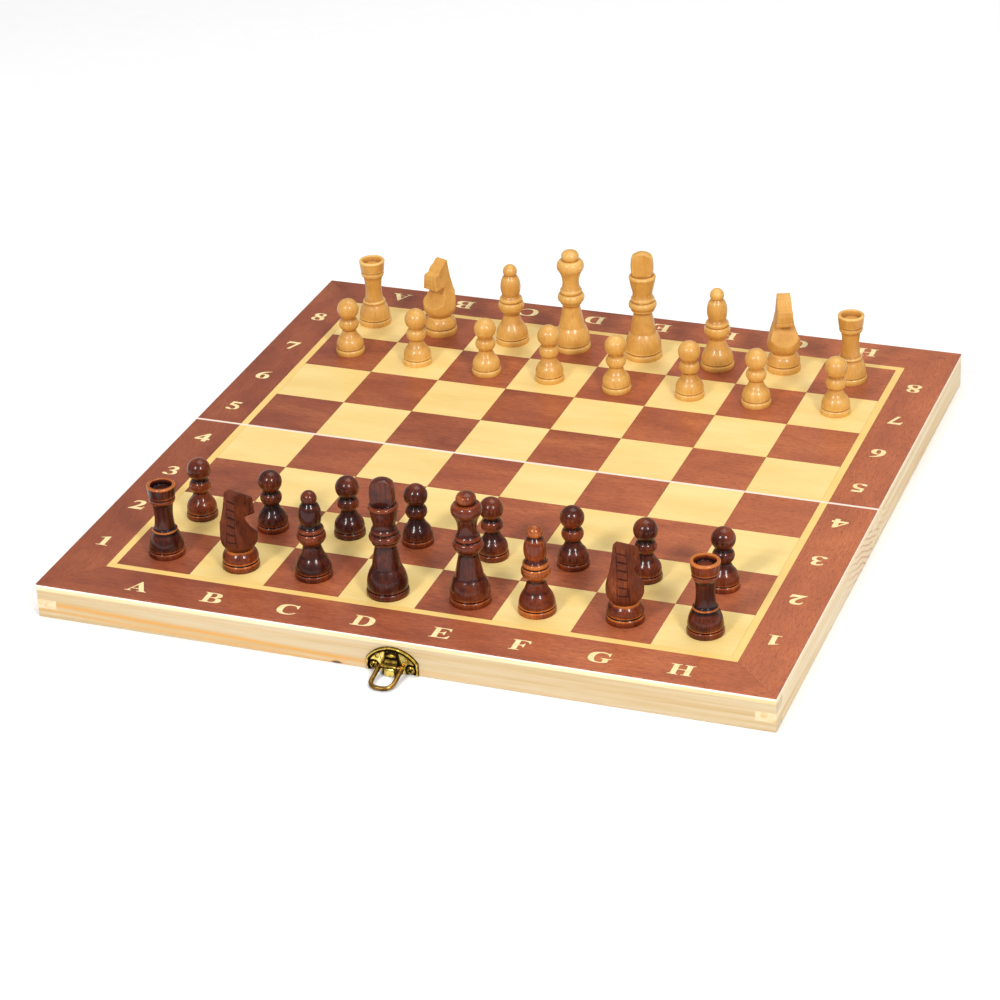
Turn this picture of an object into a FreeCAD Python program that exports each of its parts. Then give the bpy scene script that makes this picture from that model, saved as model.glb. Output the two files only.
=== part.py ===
import FreeCAD, Part
import math
import os
import Sketcher
from FreeCAD import Placement, Rotation, Vector

# A folding wooden chess board with its thirty-two turned pieces set out for a game.
# The board is two shallow trays, hinged along the seam between ranks four and five,
# which open flat on a table and close into a storage box held by a brass latch.
# Frame: origin on the seam, in the middle, at the level of the tray rims; X runs
# along the ranks from file a to file h, Y from rank one to rank eight, Z up.

doc = FreeCAD.newDocument("chess_set")
sheet = doc.addObject("Spreadsheet::Sheet", "Sizes")
NUMBERS = {}
TO_EXPORT = []


class Size:
    """A length that knows both its value and the spreadsheet formula behind it."""

    def __init__(self, value, text):
        self.value = float(value)
        self.text = text

    def joined(self, other, sign, value):
        text = other.text if isinstance(other, Size) else repr(float(other))
        return Size(value, "(" + self.text + " " + sign + " " + text + ")")

    def __add__(self, other):
        return self.joined(other, "+", self.value + number(other))

    def __sub__(self, other):
        return self.joined(other, "-", self.value - number(other))

    def __mul__(self, other):
        return self.joined(other, "*", self.value * number(other))

    def __truediv__(self, other):
        return self.joined(other, "/", self.value / number(other))

    def __neg__(self):
        return self * -1


def number(size):
    return size.value if isinstance(size, Size) else float(size)


def size(alias, value):
    """Writes one driving dimension (millimetres) into the sheet."""
    cell = "A" + str(len(NUMBERS) + 1)
    sheet.set(cell, str(value))
    sheet.setAlias(cell, alias)
    NUMBERS[alias] = value
    return Size(value, "Sizes." + alias)


def bind(thing, name, amount):
    """Sets a property and ties it to its formula in the sheet."""
    if isinstance(amount, Size):
        thing.setExpression(name, amount.text)
    else:
        setattr(thing, name, amount)


def put(thing, x=0, y=0, z=0):
    """Ties a piece's place to the sheet."""
    for name, amount in (("x", x), ("y", y), ("z", z)):
        if isinstance(amount, Size):
            thing.setExpression(".Placement.Base." + name, amount.text)
        elif amount:
            thing.setExpression(".Placement.Base." + name, repr(float(amount)))


def node(thing, label):
    """Marks an object as one exported sub-part."""
    thing.Label = label
    TO_EXPORT.append(thing)
    return thing


# ---------------------------------------------------------------- the sizes
board_side = size("board_side", 340)
square_side = size("square_side", 35.8)
line_width = size("line_width", 3.6)
half_height = size("half_height", 16.5)
rail_thick = size("rail_thick", 9)
panel_thick = size("panel_thick", 2.6)
veneer_thick = size("veneer_thick", 0.6)
glue_line = size("glue_line", 0.1)
seam_gap = size("seam_gap", 0.3)

king_tall = size("king_tall", 56.3)
king_foot = size("king_foot", 19.1)
queen_tall = size("queen_tall", 53.4)
queen_foot = size("queen_foot", 18.6)
bishop_tall = size("bishop_tall", 42.1)
bishop_foot = size("bishop_foot", 17)
knight_tall = size("knight_tall", 39.4)
knight_foot = size("knight_foot", 17)
rook_tall = size("rook_tall", 35)
rook_foot = size("rook_foot", 16.6)
pawn_tall = size("pawn_tall", 29.2)
pawn_foot = size("pawn_foot", 14.7)

hinge_apart = size("hinge_apart", 200)
leaf_long = size("leaf_long", 18)
leaf_deep = size("leaf_deep", 7)
leaf_thick = size("leaf_thick", 0.9)
knuckle_radius = size("knuckle_radius", 1.25)
pin_radius = size("pin_radius", 0.6)
knuckle_gap = size("knuckle_gap", 0.2)
running_gap = size("running_gap", 0.05)
hinge_screw_radius = size("hinge_screw_radius", 0.6)
hinge_screw_head = size("hinge_screw_head", 1.15)
hinge_screw_long = size("hinge_screw_long", 5.5)

plate_wide = size("plate_wide", 24)
plate_tall = size("plate_tall", 12.5)
plate_side = size("plate_side", 6)
plate_thick = size("plate_thick", 0.8)
rim_wide = size("rim_wide", 1.3)
rim_proud = size("rim_proud", 0.5)
strap_wide = size("strap_wide", 8)
curl_wide = size("curl_wide", 6)
wire_radius = size("wire_radius", 1.05)
loop_wide = size("loop_wide", 12.5)
loop_reach = size("loop_reach", 13.8)
loop_corner = size("loop_corner", 4.2)
loop_high = size("loop_high", 3.6)
hook_wide = size("hook_wide", 5)
screw_apart = size("screw_apart", 17)
screw_high = size("screw_high", 2.6)
screw_head = size("screw_head", 2.0)
screw_radius = size("screw_radius", 1.0)
screw_long = size("screw_long", 7)
doc.recompute()

half_side = board_side / 2
seam = seam_gap / 2
rail_high = half_height - panel_thick - veneer_thick
playing_side = square_side * 8
line_side = playing_side + line_width * 2
top = half_height


# ---------------------------------------------------------------- drawing
def dome_middle(low, pole):
    """A point half way round the ball-shaped cap from its lower edge to its pole."""
    rise = pole.y - low.y
    radius = (low.x ** 2 + rise ** 2) / (2 * rise)
    centre = pole.y - radius
    angle = (math.atan2(low.y - centre, low.x) + math.pi / 2) / 2
    return Vector(radius * math.cos(angle), centre + radius * math.sin(angle), 0)


def outline(sketch, corners, bends=None):
    """Draws a closed outline and ties every corner to the sheet.

    corners are pairs of sizes; bends gives, for a corner's number, a point that
    the arc from that corner to the next passes through. The word "dome" makes an
    arc about a point on the upright axis, ending on that axis.
    """
    bends = bends or {}
    first = sketch.GeometryCount
    count = len(corners)
    points = [Vector(number(x), number(y), 0) for x, y in corners]
    for i in range(count):
        after = points[(i + 1) % count]
        if bends.get(i) == "dome":
            sketch.addGeometry(Part.Arc(points[i], dome_middle(points[i], after), after), False)
        elif i in bends:
            middle = Vector(number(bends[i][0]), number(bends[i][1]), 0)
            sketch.addGeometry(Part.Arc(points[i], middle, after), False)
        else:
            sketch.addGeometry(Part.LineSegment(points[i], after), False)
    starts = []
    for i in range(count):
        to_start = sketch.getPoint(first + i, 1).distanceToPoint(points[i])
        to_end = sketch.getPoint(first + i, 2).distanceToPoint(points[i])
        starts.append(1 if to_start < to_end else 2)
    rules = []
    formulas = []

    def hold(geometry, end, x, y):
        for kind, axis, amount in (("DistanceX", -2, x), ("DistanceY", -1, y)):
            if abs(number(amount)) < 1e-9:
                rules.append(Sketcher.Constraint("PointOnObject", geometry, end, axis))
                formulas.append(None)
            else:
                rule = Sketcher.Constraint(kind, -1, 1, geometry, end, number(amount))
                rules.append(rule)
                formulas.append(amount.text if isinstance(amount, Size) else None)

    for i in range(count):
        last = (i - 1) % count
        last_end = 3 - starts[last]
        rules.append(Sketcher.Constraint("Coincident", first + last, last_end, first + i, starts[i]))
        formulas.append(None)
        hold(first + i, starts[i], corners[i][0], corners[i][1])
    for i, bend in bends.items():
        if bend == "dome":
            rules.append(Sketcher.Constraint("PointOnObject", first + i, 3, -2))
            formulas.append(None)
            continue
        x, y = bend
        mark = sketch.addGeometry(Part.Point(Vector(number(x), number(y), 0)), True)
        rules.append(Sketcher.Constraint("PointOnObject", mark, 1, first + i))
        formulas.append(None)
        hold(mark, 1, x, y)
    start = sketch.ConstraintCount
    sketch.addConstraint(rules)
    for i, formula in enumerate(formulas):
        if formula:
            sketch.setExpression("Constraints[" + str(start + i) + "]", formula)


def disc(sketch, x, y, radius):
    """Draws a circle whose centre and radius are tied to the sheet."""
    ring = Part.Circle(Vector(number(x), number(y), 0), Vector(0, 0, 1), number(radius))
    mark = sketch.addGeometry(ring, False)
    index = sketch.addConstraint(Sketcher.Constraint("Radius", mark, number(radius)))
    sketch.setExpression("Constraints[" + str(index) + "]", radius.text)
    for kind, axis, amount in (("DistanceX", -2, x), ("DistanceY", -1, y)):
        if abs(number(amount)) < 1e-9:
            sketch.addConstraint(Sketcher.Constraint("PointOnObject", mark, 3, axis))
            continue
        rule = Sketcher.Constraint(kind, -1, 1, mark, 3, number(amount))
        index = sketch.addConstraint(rule)
        if isinstance(amount, Size):
            sketch.setExpression("Constraints[" + str(index) + "]", amount.text)


def box_corners(x0, y0, x1, y1):
    return [(x0, y0), (x1, y0), (x1, y1), (x0, y1)]


def new_body(name):
    return doc.addObject("PartDesign::Body", name)


def body_sketch(body, plane, name, out=0):
    """A sketch on one of the body's own planes, moved out along its normal."""
    sketch = body.newObject("Sketcher::SketchObject", name)
    for face in body.Origin.OriginFeatures:
        if face.Role == plane:
            sketch.AttachmentSupport = (face, [""])
    sketch.MapMode = "FlatFace"
    if isinstance(out, Size):
        sketch.setExpression(".AttachmentOffset.Base.z", out.text)
    return sketch


def pad(body, sketch, length, name, reverse=False):
    feature = body.newObject("PartDesign::Pad", name)
    feature.Profile = sketch
    feature.Reversed = reverse
    bind(feature, "Length", length)
    return feature


def pocket(body, sketch, length, name, reverse=False):
    feature = body.newObject("PartDesign::Pocket", name)
    feature.Profile = sketch
    feature.Reversed = reverse
    bind(feature, "Length", length)
    return feature


def box(name, x, y, z, wide, deep, tall):
    solid = doc.addObject("Part::Box", name)
    bind(solid, "Length", wide)
    bind(solid, "Width", deep)
    bind(solid, "Height", tall)
    put(solid, x, y, z)
    return solid


def rod(name, radius, length, x=0, y=0, z=0, along="Z"):
    """A cylinder starting at the given point and running along one axis."""
    solid = doc.addObject("Part::Cylinder", name)
    turns = {"Z": Rotation(), "X": Rotation(Vector(0, 1, 0), 90)}
    turns["Y"] = Rotation(Vector(1, 0, 0), -90)
    solid.Placement = Placement(Vector(), turns[along])
    bind(solid, "Radius", radius)
    bind(solid, "Height", length)
    put(solid, x, y, z)
    return solid


def joined(name, solids):
    whole = doc.addObject("Part::MultiFuse", name)
    whole.Shapes = solids
    return whole


def cut(name, base, tool):
    result = doc.addObject("Part::Cut", name)
    result.Base = base
    result.Tool = tool
    return result


def together(name, solids):
    """Separate solids that make one sub-part."""
    group = doc.addObject("Part::Compound", name)
    group.Links = solids
    return group


# ---------------------------------------------------------------- tray rails
# Each tray is four pine rails with one finger at each corner: the long rails
# are notched in their middle third, and the side rails' tongues fill the notches.
def long_rail(label, y, screws=False, leaves=0):
    """A rail along X. leaves is -1 or +1 for the side the hinge leaves lie on."""
    body = new_body(label)
    sketch = body_sketch(body, "XZ_Plane", label + "_outline")
    end = half_side
    inside = half_side - rail_thick
    low = rail_high / 3
    high = rail_high * 2 / 3
    right = [(end, 0), (end, low), (inside, low), (inside, high), (end, high), (end, rail_high)]
    left = [(-x, z) for x, z in reversed(right)]
    outline(sketch, right + left)
    pad(body, sketch, rail_thick, label + "_board")
    if screws:
        face = body_sketch(body, "XZ_Plane", label + "_screw_places", rail_thick)
        for side in (-1, 1):
            disc(face, screw_apart / 2 * side, screw_high, screw_radius + 0.15)
        pocket(body, face, screw_long, label + "_screw_holes")
    if leaves:
        let_in_hinges(body, label, leaves)
    put(body, y=y)
    return node(body, label)


def let_in_hinges(body, label, side):
    """Shallow seats for the leaves, a deeper one for the knuckles, pilot holes."""
    near = side < 0
    room = leaf_deep + 0.1
    seats = body_sketch(body, "XY_Plane", label + "_leaf_seats")
    rooms = body_sketch(body, "XY_Plane", label + "_knuckle_rooms")
    holes = body_sketch(body, "XY_Plane", label + "_pilot_holes")
    # A local y of zero is the rail's back face; the seam lies half a gap beyond
    # the near rail's back face or one rail's thickness before the far rail's.
    if near:
        edge = Size(0, "0.0")
        inner = -(room - seam)
        deep = -(knuckle_radius + 0.35 - seam)
        screw_row = -(leaf_deep * 0.62 - seam)
    else:
        edge = -rail_thick
        inner = room - seam - rail_thick
        deep = knuckle_radius + 0.35 - seam - rail_thick
        screw_row = leaf_deep * 0.62 - seam - rail_thick
    for end in (-1, 1):
        middle = hinge_apart / 2 * end
        half = leaf_long / 2 + 0.1
        outline(seats, box_corners(middle - half, inner, middle + half, edge))
        outline(rooms, box_corners(middle - half, deep, middle + half, edge))
        for along in (-0.28, 0.28):
            disc(holes, middle + leaf_long * along, screw_row, hinge_screw_radius + 0.15)
    pocket(body, seats, leaf_thick, label + "_seats", True)
    pocket(body, rooms, knuckle_radius + 0.35, label + "_rooms", True)
    pocket(body, holes, hinge_screw_long + 0.1, label + "_pilots", True)


def side_rail(label, x, y0, y1):
    body = new_body(label)
    sketch = body_sketch(body, "YZ_Plane", label + "_outline")
    low = rail_high / 3
    high = rail_high * 2 / 3
    front = y0 + rail_thick
    back = y1 - rail_thick
    corners = [(front, 0), (back, 0), (back, low), (y1, low), (y1, high), (back, high)]
    corners += [(back, rail_high), (front, rail_high), (front, high), (y0, high)]
    corners += [(y0, low), (front, low)]
    outline(sketch, corners)
    pad(body, sketch, rail_thick, label + "_board")
    put(body, x=x)
    return node(body, label)


long_rail("near_front_rail", -half_side + rail_thick, screws=True)
long_rail("near_hinge_rail", -seam, leaves=-1)
side_rail("near_left_rail", -half_side, -half_side, -seam)
side_rail("near_right_rail", half_side - rail_thick, -half_side, -seam)
long_rail("far_hinge_rail", seam + rail_thick, leaves=1)
back_rail = long_rail("far_back_rail", half_side)
side_rail("far_left_rail", -half_side, seam, half_side)
side_rail("far_right_rail", half_side - rail_thick, seam, half_side)

# The far tray's outer rail takes the catch's screws from its outer face.
face = body_sketch(back_rail, "XZ_Plane", "far_back_rail_screw_places")
for side in (-1, 1):
    disc(face, screw_apart / 2 * side, screw_high, screw_radius + 0.15)
pocket(back_rail, face, screw_long, "far_back_rail_screw_holes", True)


# ---------------------------------------------------------------- panels
def panel(label, y):
    solid = box(label, -half_side, y, rail_high, board_side, half_side - seam, panel_thick)
    return node(solid, label)


panel("near_panel", -half_side)
panel("far_panel", seam)


# ---------------------------------------------------------------- veneers
# The playing face is knife-cut veneer: dark and light squares, a light line round
# them and a dark border mitred at the corners, with a hair of glue between pieces.
veneer_low = top - veneer_thick


def tile(name, x0, y0, x1, y1):
    hair = glue_line / 2
    wide = x1 - x0 - glue_line
    deep = y1 - y0 - glue_line
    return box(name, x0 + hair, y0 + hair, veneer_low, wide, deep, veneer_thick)


def sheet_piece(name, corners):
    """A flat veneer piece with slanted ends."""
    sketch = doc.addObject("Sketcher::SketchObject", name + "_outline")
    outline(sketch, corners)
    solid = doc.addObject("Part::Extrusion", name)
    solid.Base = sketch
    solid.DirMode = "Custom"
    solid.Dir = Vector(0, 0, 1)
    solid.Solid = True
    bind(solid, "LengthFwd", veneer_thick)
    put(solid, z=veneer_low)
    return solid


def half_squares(half, ranks):
    groups = {"dark": [], "light": []}
    for rank in ranks:
        for file in range(8):
            x0 = square_side * (file - 4)
            x1 = square_side * (file - 3)
            y0 = square_side * (rank - 4)
            y1 = square_side * (rank - 3)
            if rank == 3:
                y1 = -seam
            if rank == 4:
                y0 = seam
            tone = "light" if (rank + file) % 2 else "dark"
            name = half + "_" + tone + "_" + "abcdefgh"[file] + str(rank + 1)
            groups[tone].append(tile(name, x0, y0, x1, y1))
    return groups


def line_and_border(half, side):
    """The light line and the dark border round three sides of one half."""
    inner = playing_side / 2
    middle = line_side / 2
    outer = half_side
    hair = glue_line / 2
    lines = []
    border = []
    for pieces, a, b, kind in ((lines, inner, middle, "line"), (border, middle, outer, "border")):
        low = a + hair
        high = b - hair if kind == "line" else b
        y_low = low * side
        y_high = high * side
        # a mitre runs at 45 degrees, so its two faces stay a hair apart
        end_low = low - hair
        end_high = high - hair
        front = [(-end_low, y_low), (end_low, y_low), (end_high, y_high), (-end_high, y_high)]
        pieces.append(sheet_piece(half + "_" + kind + "_across", front))
        for hand, word in ((-1, "left"), (1, "right")):
            x_low = low * hand
            x_high = high * hand
            y_start = seam * side
            corners = [(x_low, y_start), (x_high, y_start)]
            corners += [(x_high, end_high * side), (x_low, end_low * side)]
            pieces.append(sheet_piece(half + "_" + kind + "_" + word, corners))
    return lines, border


for half, ranks, side in (("near", range(4), -1), ("far", range(4, 8), 1)):
    groups = half_squares(half, ranks)
    lines, border = line_and_border(half, side)
    node(together(half + "_dark_veneer", groups["dark"]), half + "_dark_squares")
    node(together(half + "_light_veneer", groups["light"] + lines), half + "_light_squares")
    node(together(half + "_border_veneer", border), half + "_border")


# ---------------------------------------------------------------- hinges
# Two small brass butt hinges let into the rims. The pin's axis lies in the plane
# where the rims meet, so the trays close rim to rim and open flat.
def rooms_for(name, spans, middle, radius):
    return [rod(name + "_" + str(i), radius, b - a, middle + a, 0, 0, "X") for i, (a, b) in enumerate(spans)]


def hinge_leaf(label, hand, side):
    """side -1 is the near leaf with the two outer knuckles, +1 the far leaf."""
    middle = hinge_apart / 2 * hand
    end = leaf_long / 2
    third = leaf_long / 6
    gap = knuckle_gap / 2
    outer_spans = [(-end, -third - gap), (third + gap, end)]
    inner_spans = [(-third + gap, third - gap)]
    outer_rooms = [(-end - 0.1, -third + gap), (third - gap, end + 0.1)]
    inner_rooms = [(-third - gap, third + gap)]
    own = outer_spans if side < 0 else inner_spans
    clear = inner_rooms if side < 0 else outer_rooms
    y = -leaf_deep if side < 0 else 0
    plate = box(label + "_leaf", middle - end, y, 0, leaf_long, leaf_deep, leaf_thick)
    knuckles = rooms_for(label + "_knuckle", own, middle, knuckle_radius)
    whole = joined(label + "_whole", [plate] + knuckles)
    tools = rooms_for(label + "_room", clear, middle, knuckle_radius + 0.2)
    tools.append(rod(label + "_bore", pin_radius + running_gap, leaf_long + 2, middle - end - 1, 0, 0, "X"))
    row = leaf_deep * 0.62 * side
    for i, along in enumerate((-0.28, 0.28)):
        x = middle + leaf_long * along
        tools += screw_solids(label + "_hole_" + str(i), x, row, 0.02)
    return node(cut(label + "_cut", whole, joined(label + "_tools", tools)), label)


def screw_solids(name, x, y, extra=0):
    """A countersunk head whose flat lies in the rim plane, and its shank."""
    head = doc.addObject("Part::Cone", name + "_head")
    bind(head, "Radius1", hinge_screw_head + extra)
    bind(head, "Radius2", hinge_screw_radius + extra)
    bind(head, "Height", hinge_screw_head - hinge_screw_radius)
    put(head, x, y, 0)
    shank = rod(name + "_shank", hinge_screw_radius + extra, hinge_screw_long, x, y, 0)
    return [head, shank]


def hinge_screws(label, side):
    screws = []
    row = leaf_deep * 0.62 * side
    for hand in (-1, 1):
        for along in (-0.28, 0.28):
            x = hinge_apart / 2 * hand + leaf_long * along
            name = label + "_" + str(len(screws))
            screws.append(joined(name, screw_solids(name, x, row)))
    return node(together(label + "_set", screws), label)


hinge_leaf("near_hinge_left", -1, -1)
hinge_leaf("near_hinge_right", 1, -1)
hinge_leaf("far_hinge_left", -1, 1)
hinge_leaf("far_hinge_right", 1, 1)
pins = []
for hand, word in ((-1, "left"), (1, "right")):
    start = hinge_apart / 2 * hand - leaf_long / 2
    pins.append(rod("hinge_pin_" + word, pin_radius, leaf_long, start, 0, 0, "X"))
node(together("hinge_pin_pair", pins), "hinge_pins")
hinge_screws("near_hinge_screws", -1)
hinge_screws("far_hinge_screws", 1)


# ---------------------------------------------------------------- latch
# Half-moon pressed brass plates, one on each tray's outer rail. The near one holds
# a wire loop in the curl of its strap; the far one has the hook the loop drops over.
def half_moon(label):
    """The plate, with a raised rim along its arc; its back lies in the XZ plane."""
    body = new_body(label)
    half = plate_wide / 2
    low = Size(0.3, "0.3")
    shape = body_sketch(body, "XZ_Plane", label + "_outline")
    corners = [(-half, low), (half, low), (half, plate_side), (-half, plate_side)]
    outline(shape, corners, {2: (Size(0, "0"), plate_tall)})
    pad(body, shape, plate_thick, label + "_plate")
    edge = body_sketch(body, "XZ_Plane", label + "_rim_outline", plate_thick)
    inner = half - rim_wide
    corners = [(half, plate_side), (-half, plate_side), (-half, low), (-inner, low)]
    corners += [(-inner, plate_side), (inner, plate_side), (inner, low), (half, low)]
    arcs = {0: (Size(0, "0"), plate_tall), 4: (Size(0, "0"), plate_tall - rim_wide)}
    outline(edge, corners, arcs)
    pad(body, edge, rim_proud, label + "_rim")
    return body


def plate_holes(body, label):
    spots = body_sketch(body, "XZ_Plane", label + "_hole_places")
    for side in (-1, 1):
        disc(spots, screw_apart / 2 * side, screw_high, screw_radius + 0.15)
    pocket(body, spots, plate_thick + 1, label + "_holes", True)


curl_inner = wire_radius + 0.08
curl_outer = curl_inner + plate_thick
curl_out = plate_thick + curl_outer - 0.35

latch = half_moon("latch_plate")
strap = body_sketch(latch, "XZ_Plane", "strap_outline", plate_thick)
side = strap_wide / 2
strap_top = loop_high + 5.9
outline(strap, box_corners(-side, loop_high, side, strap_top))
pad(latch, strap, plate_thick, "strap")
curl = body_sketch(latch, "YZ_Plane", "curl_outline", -curl_wide / 2)
disc(curl, -curl_out, loop_high, curl_outer)
pad(latch, curl, curl_wide, "curl")
lip = body_sketch(latch, "YZ_Plane", "lip_outline", -curl_wide * 0.37)
lip_front = -(curl_out + curl_outer)
lip_back = lip_front + plate_thick
outline(lip, box_corners(lip_front - 0.35, Size(0.4, "0.4"), lip_back - 0.35, loop_high))
pad(latch, lip, curl_wide * 0.74, "lip")
bore = body_sketch(latch, "YZ_Plane", "bore_outline", -curl_wide / 2 - 1)
disc(bore, -curl_out, loop_high, curl_inner)
pocket(latch, bore, curl_wide + 2, "wire_bore", True)
plate_holes(latch, "latch_plate")
put(latch, y=-half_side)
node(latch, "latch_plate")

catch = half_moon("catch_plate")
hook = body_sketch(catch, "YZ_Plane", "hook_outline", -hook_wide / 2)
hook_out = curl_out + 1.8
hook_low = Size(5.4, "5.4")
hook_lip = hook_low + plate_thick + 1.8
corners = [(-plate_thick + 0.2, hook_low), (-plate_thick + 0.2, hook_low + plate_thick)]
corners += [(-hook_out + plate_thick, hook_low + plate_thick), (-hook_out + plate_thick, hook_lip)]
corners += [(-hook_out, hook_lip), (-hook_out, hook_low)]
outline(hook, corners)
pad(catch, hook, hook_wide, "hook")
plate_holes(catch, "catch_plate")
catch.Placement = Placement(Vector(), Rotation(Vector(0, 0, 1), 180))
put(catch, y=half_side)
node(catch, "catch_plate")


# The loop is one bent wire. It is drawn flat, reaching towards -Y, and leans
# down from the curl until its end rests on the table.
def elbow(name, hand):
    bend = doc.addObject("Part::Torus", name)
    bind(bend, "Radius1", loop_corner)
    bind(bend, "Radius2", wire_radius)
    bend.Angle3 = 90
    bend.Placement = Placement(Vector(), Rotation(Vector(0, 0, 1), 180 if hand < 0 else 270))
    put(bend, (loop_leg - loop_corner) * hand, -loop_reach + loop_corner)
    return bend


loop_leg = loop_wide / 2 - wire_radius
wire = [rod("loop_axle", wire_radius, loop_leg * 2, -loop_leg, 0, 0, "X")]
end_run = (loop_leg - loop_corner) * 2
wire.append(rod("loop_end", wire_radius, end_run, -end_run / 2, -loop_reach, 0, "X"))
for hand, word in ((-1, "left"), (1, "right")):
    leg = loop_reach - loop_corner
    wire.append(rod("loop_leg_" + word, wire_radius, leg, loop_leg * hand, -leg, 0, "Y"))
    wire.append(elbow("loop_elbow_" + word, hand))
    shoulder = doc.addObject("Part::Sphere", "loop_shoulder_" + word)
    bind(shoulder, "Radius", wire_radius)
    put(shoulder, loop_leg * hand)
    wire.append(shoulder)
loop = joined("loop_wire", wire)
loop.Placement = Placement(Vector(), Rotation(Vector(1, 0, 0), 12.5))
put(loop, y=-half_side - curl_out, z=loop_high)
lean = "asin((Sizes.loop_high - Sizes.wire_radius - 0.1) / Sizes.loop_reach)"
loop.setExpression(".Placement.Rotation.Angle", lean)
node(loop, "latch_loop")


def domed_screws(label, y, facing):
    """Two round-head screws whose heads sit on the plate's face."""
    screws = []
    for hand in (-1, 1):
        name = label + ("_left" if hand < 0 else "_right")
        x = screw_apart / 2 * hand
        ball = doc.addObject("Part::Sphere", name + "_ball")
        bind(ball, "Radius", screw_head * 1.25)
        put(ball, x, y + (screw_head * 0.75 - plate_thick) * -facing, screw_high)
        if facing < 0:
            start = y - plate_thick - screw_head
            shank_start = y - plate_thick - 0.1
        else:
            start = y + plate_thick
            shank_start = y - screw_long + 0.1
        dome = doc.addObject("Part::Common", name + "_dome")
        dome.Base = ball
        dome.Tool = rod(name + "_face", screw_head * 1.2, screw_head, x, start, screw_high, "Y")
        length = screw_long + plate_thick
        shank = rod(name + "_shank", screw_radius, length, x, shank_start, screw_high, "Y")
        screws.append(joined(name, [dome, shank]))
    return node(together(label + "_pair", screws), label)


domed_screws("latch_screws", -half_side, -1)
domed_screws("catch_screws", half_side, 1)


# ---------------------------------------------------------------- turned pieces
# A profile is a list of stations up the outside of the piece. Each station is
# (per cent of the foot's radius, per cent of the height) and may be followed by a
# point that the curve up to the next station passes through, or by "dome".
def turned(name, foot, tall, stations):
    sketch = doc.addObject("Sketcher::SketchObject", name + "_profile")
    sketch.Placement = Placement(Vector(), Rotation(Vector(1, 0, 0), 90))
    corners = [(Size(0, "0"), Size(0, "0"))]
    bends = {}
    for station in stations:
        for_next = len(corners)
        x = foot / 2 * (station[0] / 100)
        corners.append((x, tall * (station[1] / 100)))
        if len(station) == 3:
            bends[for_next] = station[2]
        if len(station) > 3:
            bends[for_next] = (foot / 2 * (station[2] / 100), tall * (station[3] / 100))
    outline(sketch, corners, bends)
    solid = doc.addObject("Part::Revolution", name)
    solid.Source = sketch
    solid.Axis = Vector(0, 0, 1)
    solid.Angle = 360
    solid.Solid = True
    return solid


PAWN = [
    (97.3, 0, 100, 4.4), (95.6, 9.0), (86.6, 10.2), (94.0, 11.6, 88.4, 22.6),
    (66.7, 31.2, 52.4, 37.3), (44.9, 43.8), (53.1, 45.2, 68.0, 54.5), (56.0, 62.3),
    (49.6, 63.7), (49.6, 67.2, "dome"), (0, 100),
]
ROOK = [
    (97.6, 0, 100, 3.6), (96.0, 7.6), (87.4, 8.6), (95.2, 9.8, 89.2, 20.6),
    (66.3, 33.7, 69.3, 35.4), (62.7, 37.1), (57.2, 38.3, 50.6, 57.1), (57.2, 73.1),
    (65.1, 75.4, 71.1, 78.9), (68.7, 81.7), (65.7, 82.6), (72.3, 83.7), (78.3, 96.6, 77.5, 99.2),
    (73.5, 100), (61.4, 100), (53.0, 92.0), (0, 90.9),
]
BISHOP = [
    (97.6, 0, 100, 3.0), (96.2, 6.2), (88.0, 7.1), (96.0, 8.2, 91.2, 14.4),
    (65.9, 24.7, 53.5, 31.4), (46.0, 37.4), (52.0, 37.9, 56.8, 39.6), (65.0, 41.4, 77.2, 47.4),
    (69.0, 52.4), (63.0, 52.9, 68.0, 55.8), (57.5, 58.8), (52.0, 61.2), (52.4, 62.6, 60.2, 72.5),
    (49.0, 83.2), (38.0, 86.2), (35.4, 87.0, 42.0, 92.4), (33.0, 96.6, "dome"), (0, 100),
]
QUEEN = [
    (97.3, 0, 100, 2.4), (96.4, 5.0), (88.4, 5.8), (96.2, 6.8, 91.4, 15.7),
    (69.9, 23.6, 58.1, 33.7), (45.2, 45.0), (50.5, 45.3, 57.0, 46.9), (60.0, 48.4),
    (65.0, 49.0, 73.0, 53.0), (63.5, 56.4), (56.0, 56.9, 60.2, 59.3), (52.5, 61.5),
    (47.0, 64.4), (44.8, 68.0, 52.5, 75.2), (70.2, 81.0, 74.2, 84.8), (60.0, 89.7), (46.0, 90.3),
    (39.5, 90.2, 48.2, 93.9), (38.7, 97.8, "dome"), (0, 100),
]
KING = [
    (97.4, 0, 100, 2.3), (96.4, 4.7), (88.1, 5.5), (95.8, 6.5, 90.1, 15.3),
    (67.0, 24.2, 58.6, 33.7), (46.0, 43.3), (55.0, 43.7, 63.2, 45.7), (62.5, 46.9),
    (66.0, 47.3, 74.2, 50.2), (65.5, 53.1), (58.5, 53.6, 62.6, 55.6), (56.0, 57.6),
    (52.5, 59.6), (52.5, 61.8, 60.8, 67.5), (69.5, 74.8, 69.7, 77.2), (62.0, 78.2), (54.5, 78.3),
    (57.2, 79.6, 60.4, 88.0), (57.0, 94.0), (52.5, 96.4, "dome"), (0, 100),
]
KNIGHT_FOOT = [
    (97.6, 0, 100, 3.4), (96.2, 7.6), (87.8, 8.8), (95.8, 10.2, 92.9, 16.0),
    (75.3, 22.3), (70.6, 23.6), (0, 23.6),
]

pawn_turned = turned("pawn_turned", pawn_foot, pawn_tall, PAWN)
rook_turned = turned("rook_turned", rook_foot, rook_tall, ROOK)
bishop_turned = turned("bishop_turned", bishop_foot, bishop_tall, BISHOP)
queen_turned = turned("queen_turned", queen_foot, queen_tall, QUEEN)
king_turned = turned("king_turned", king_foot, king_tall, KING)
knight_turned = turned("knight_turned", knight_foot, knight_tall, KNIGHT_FOOT)

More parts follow.
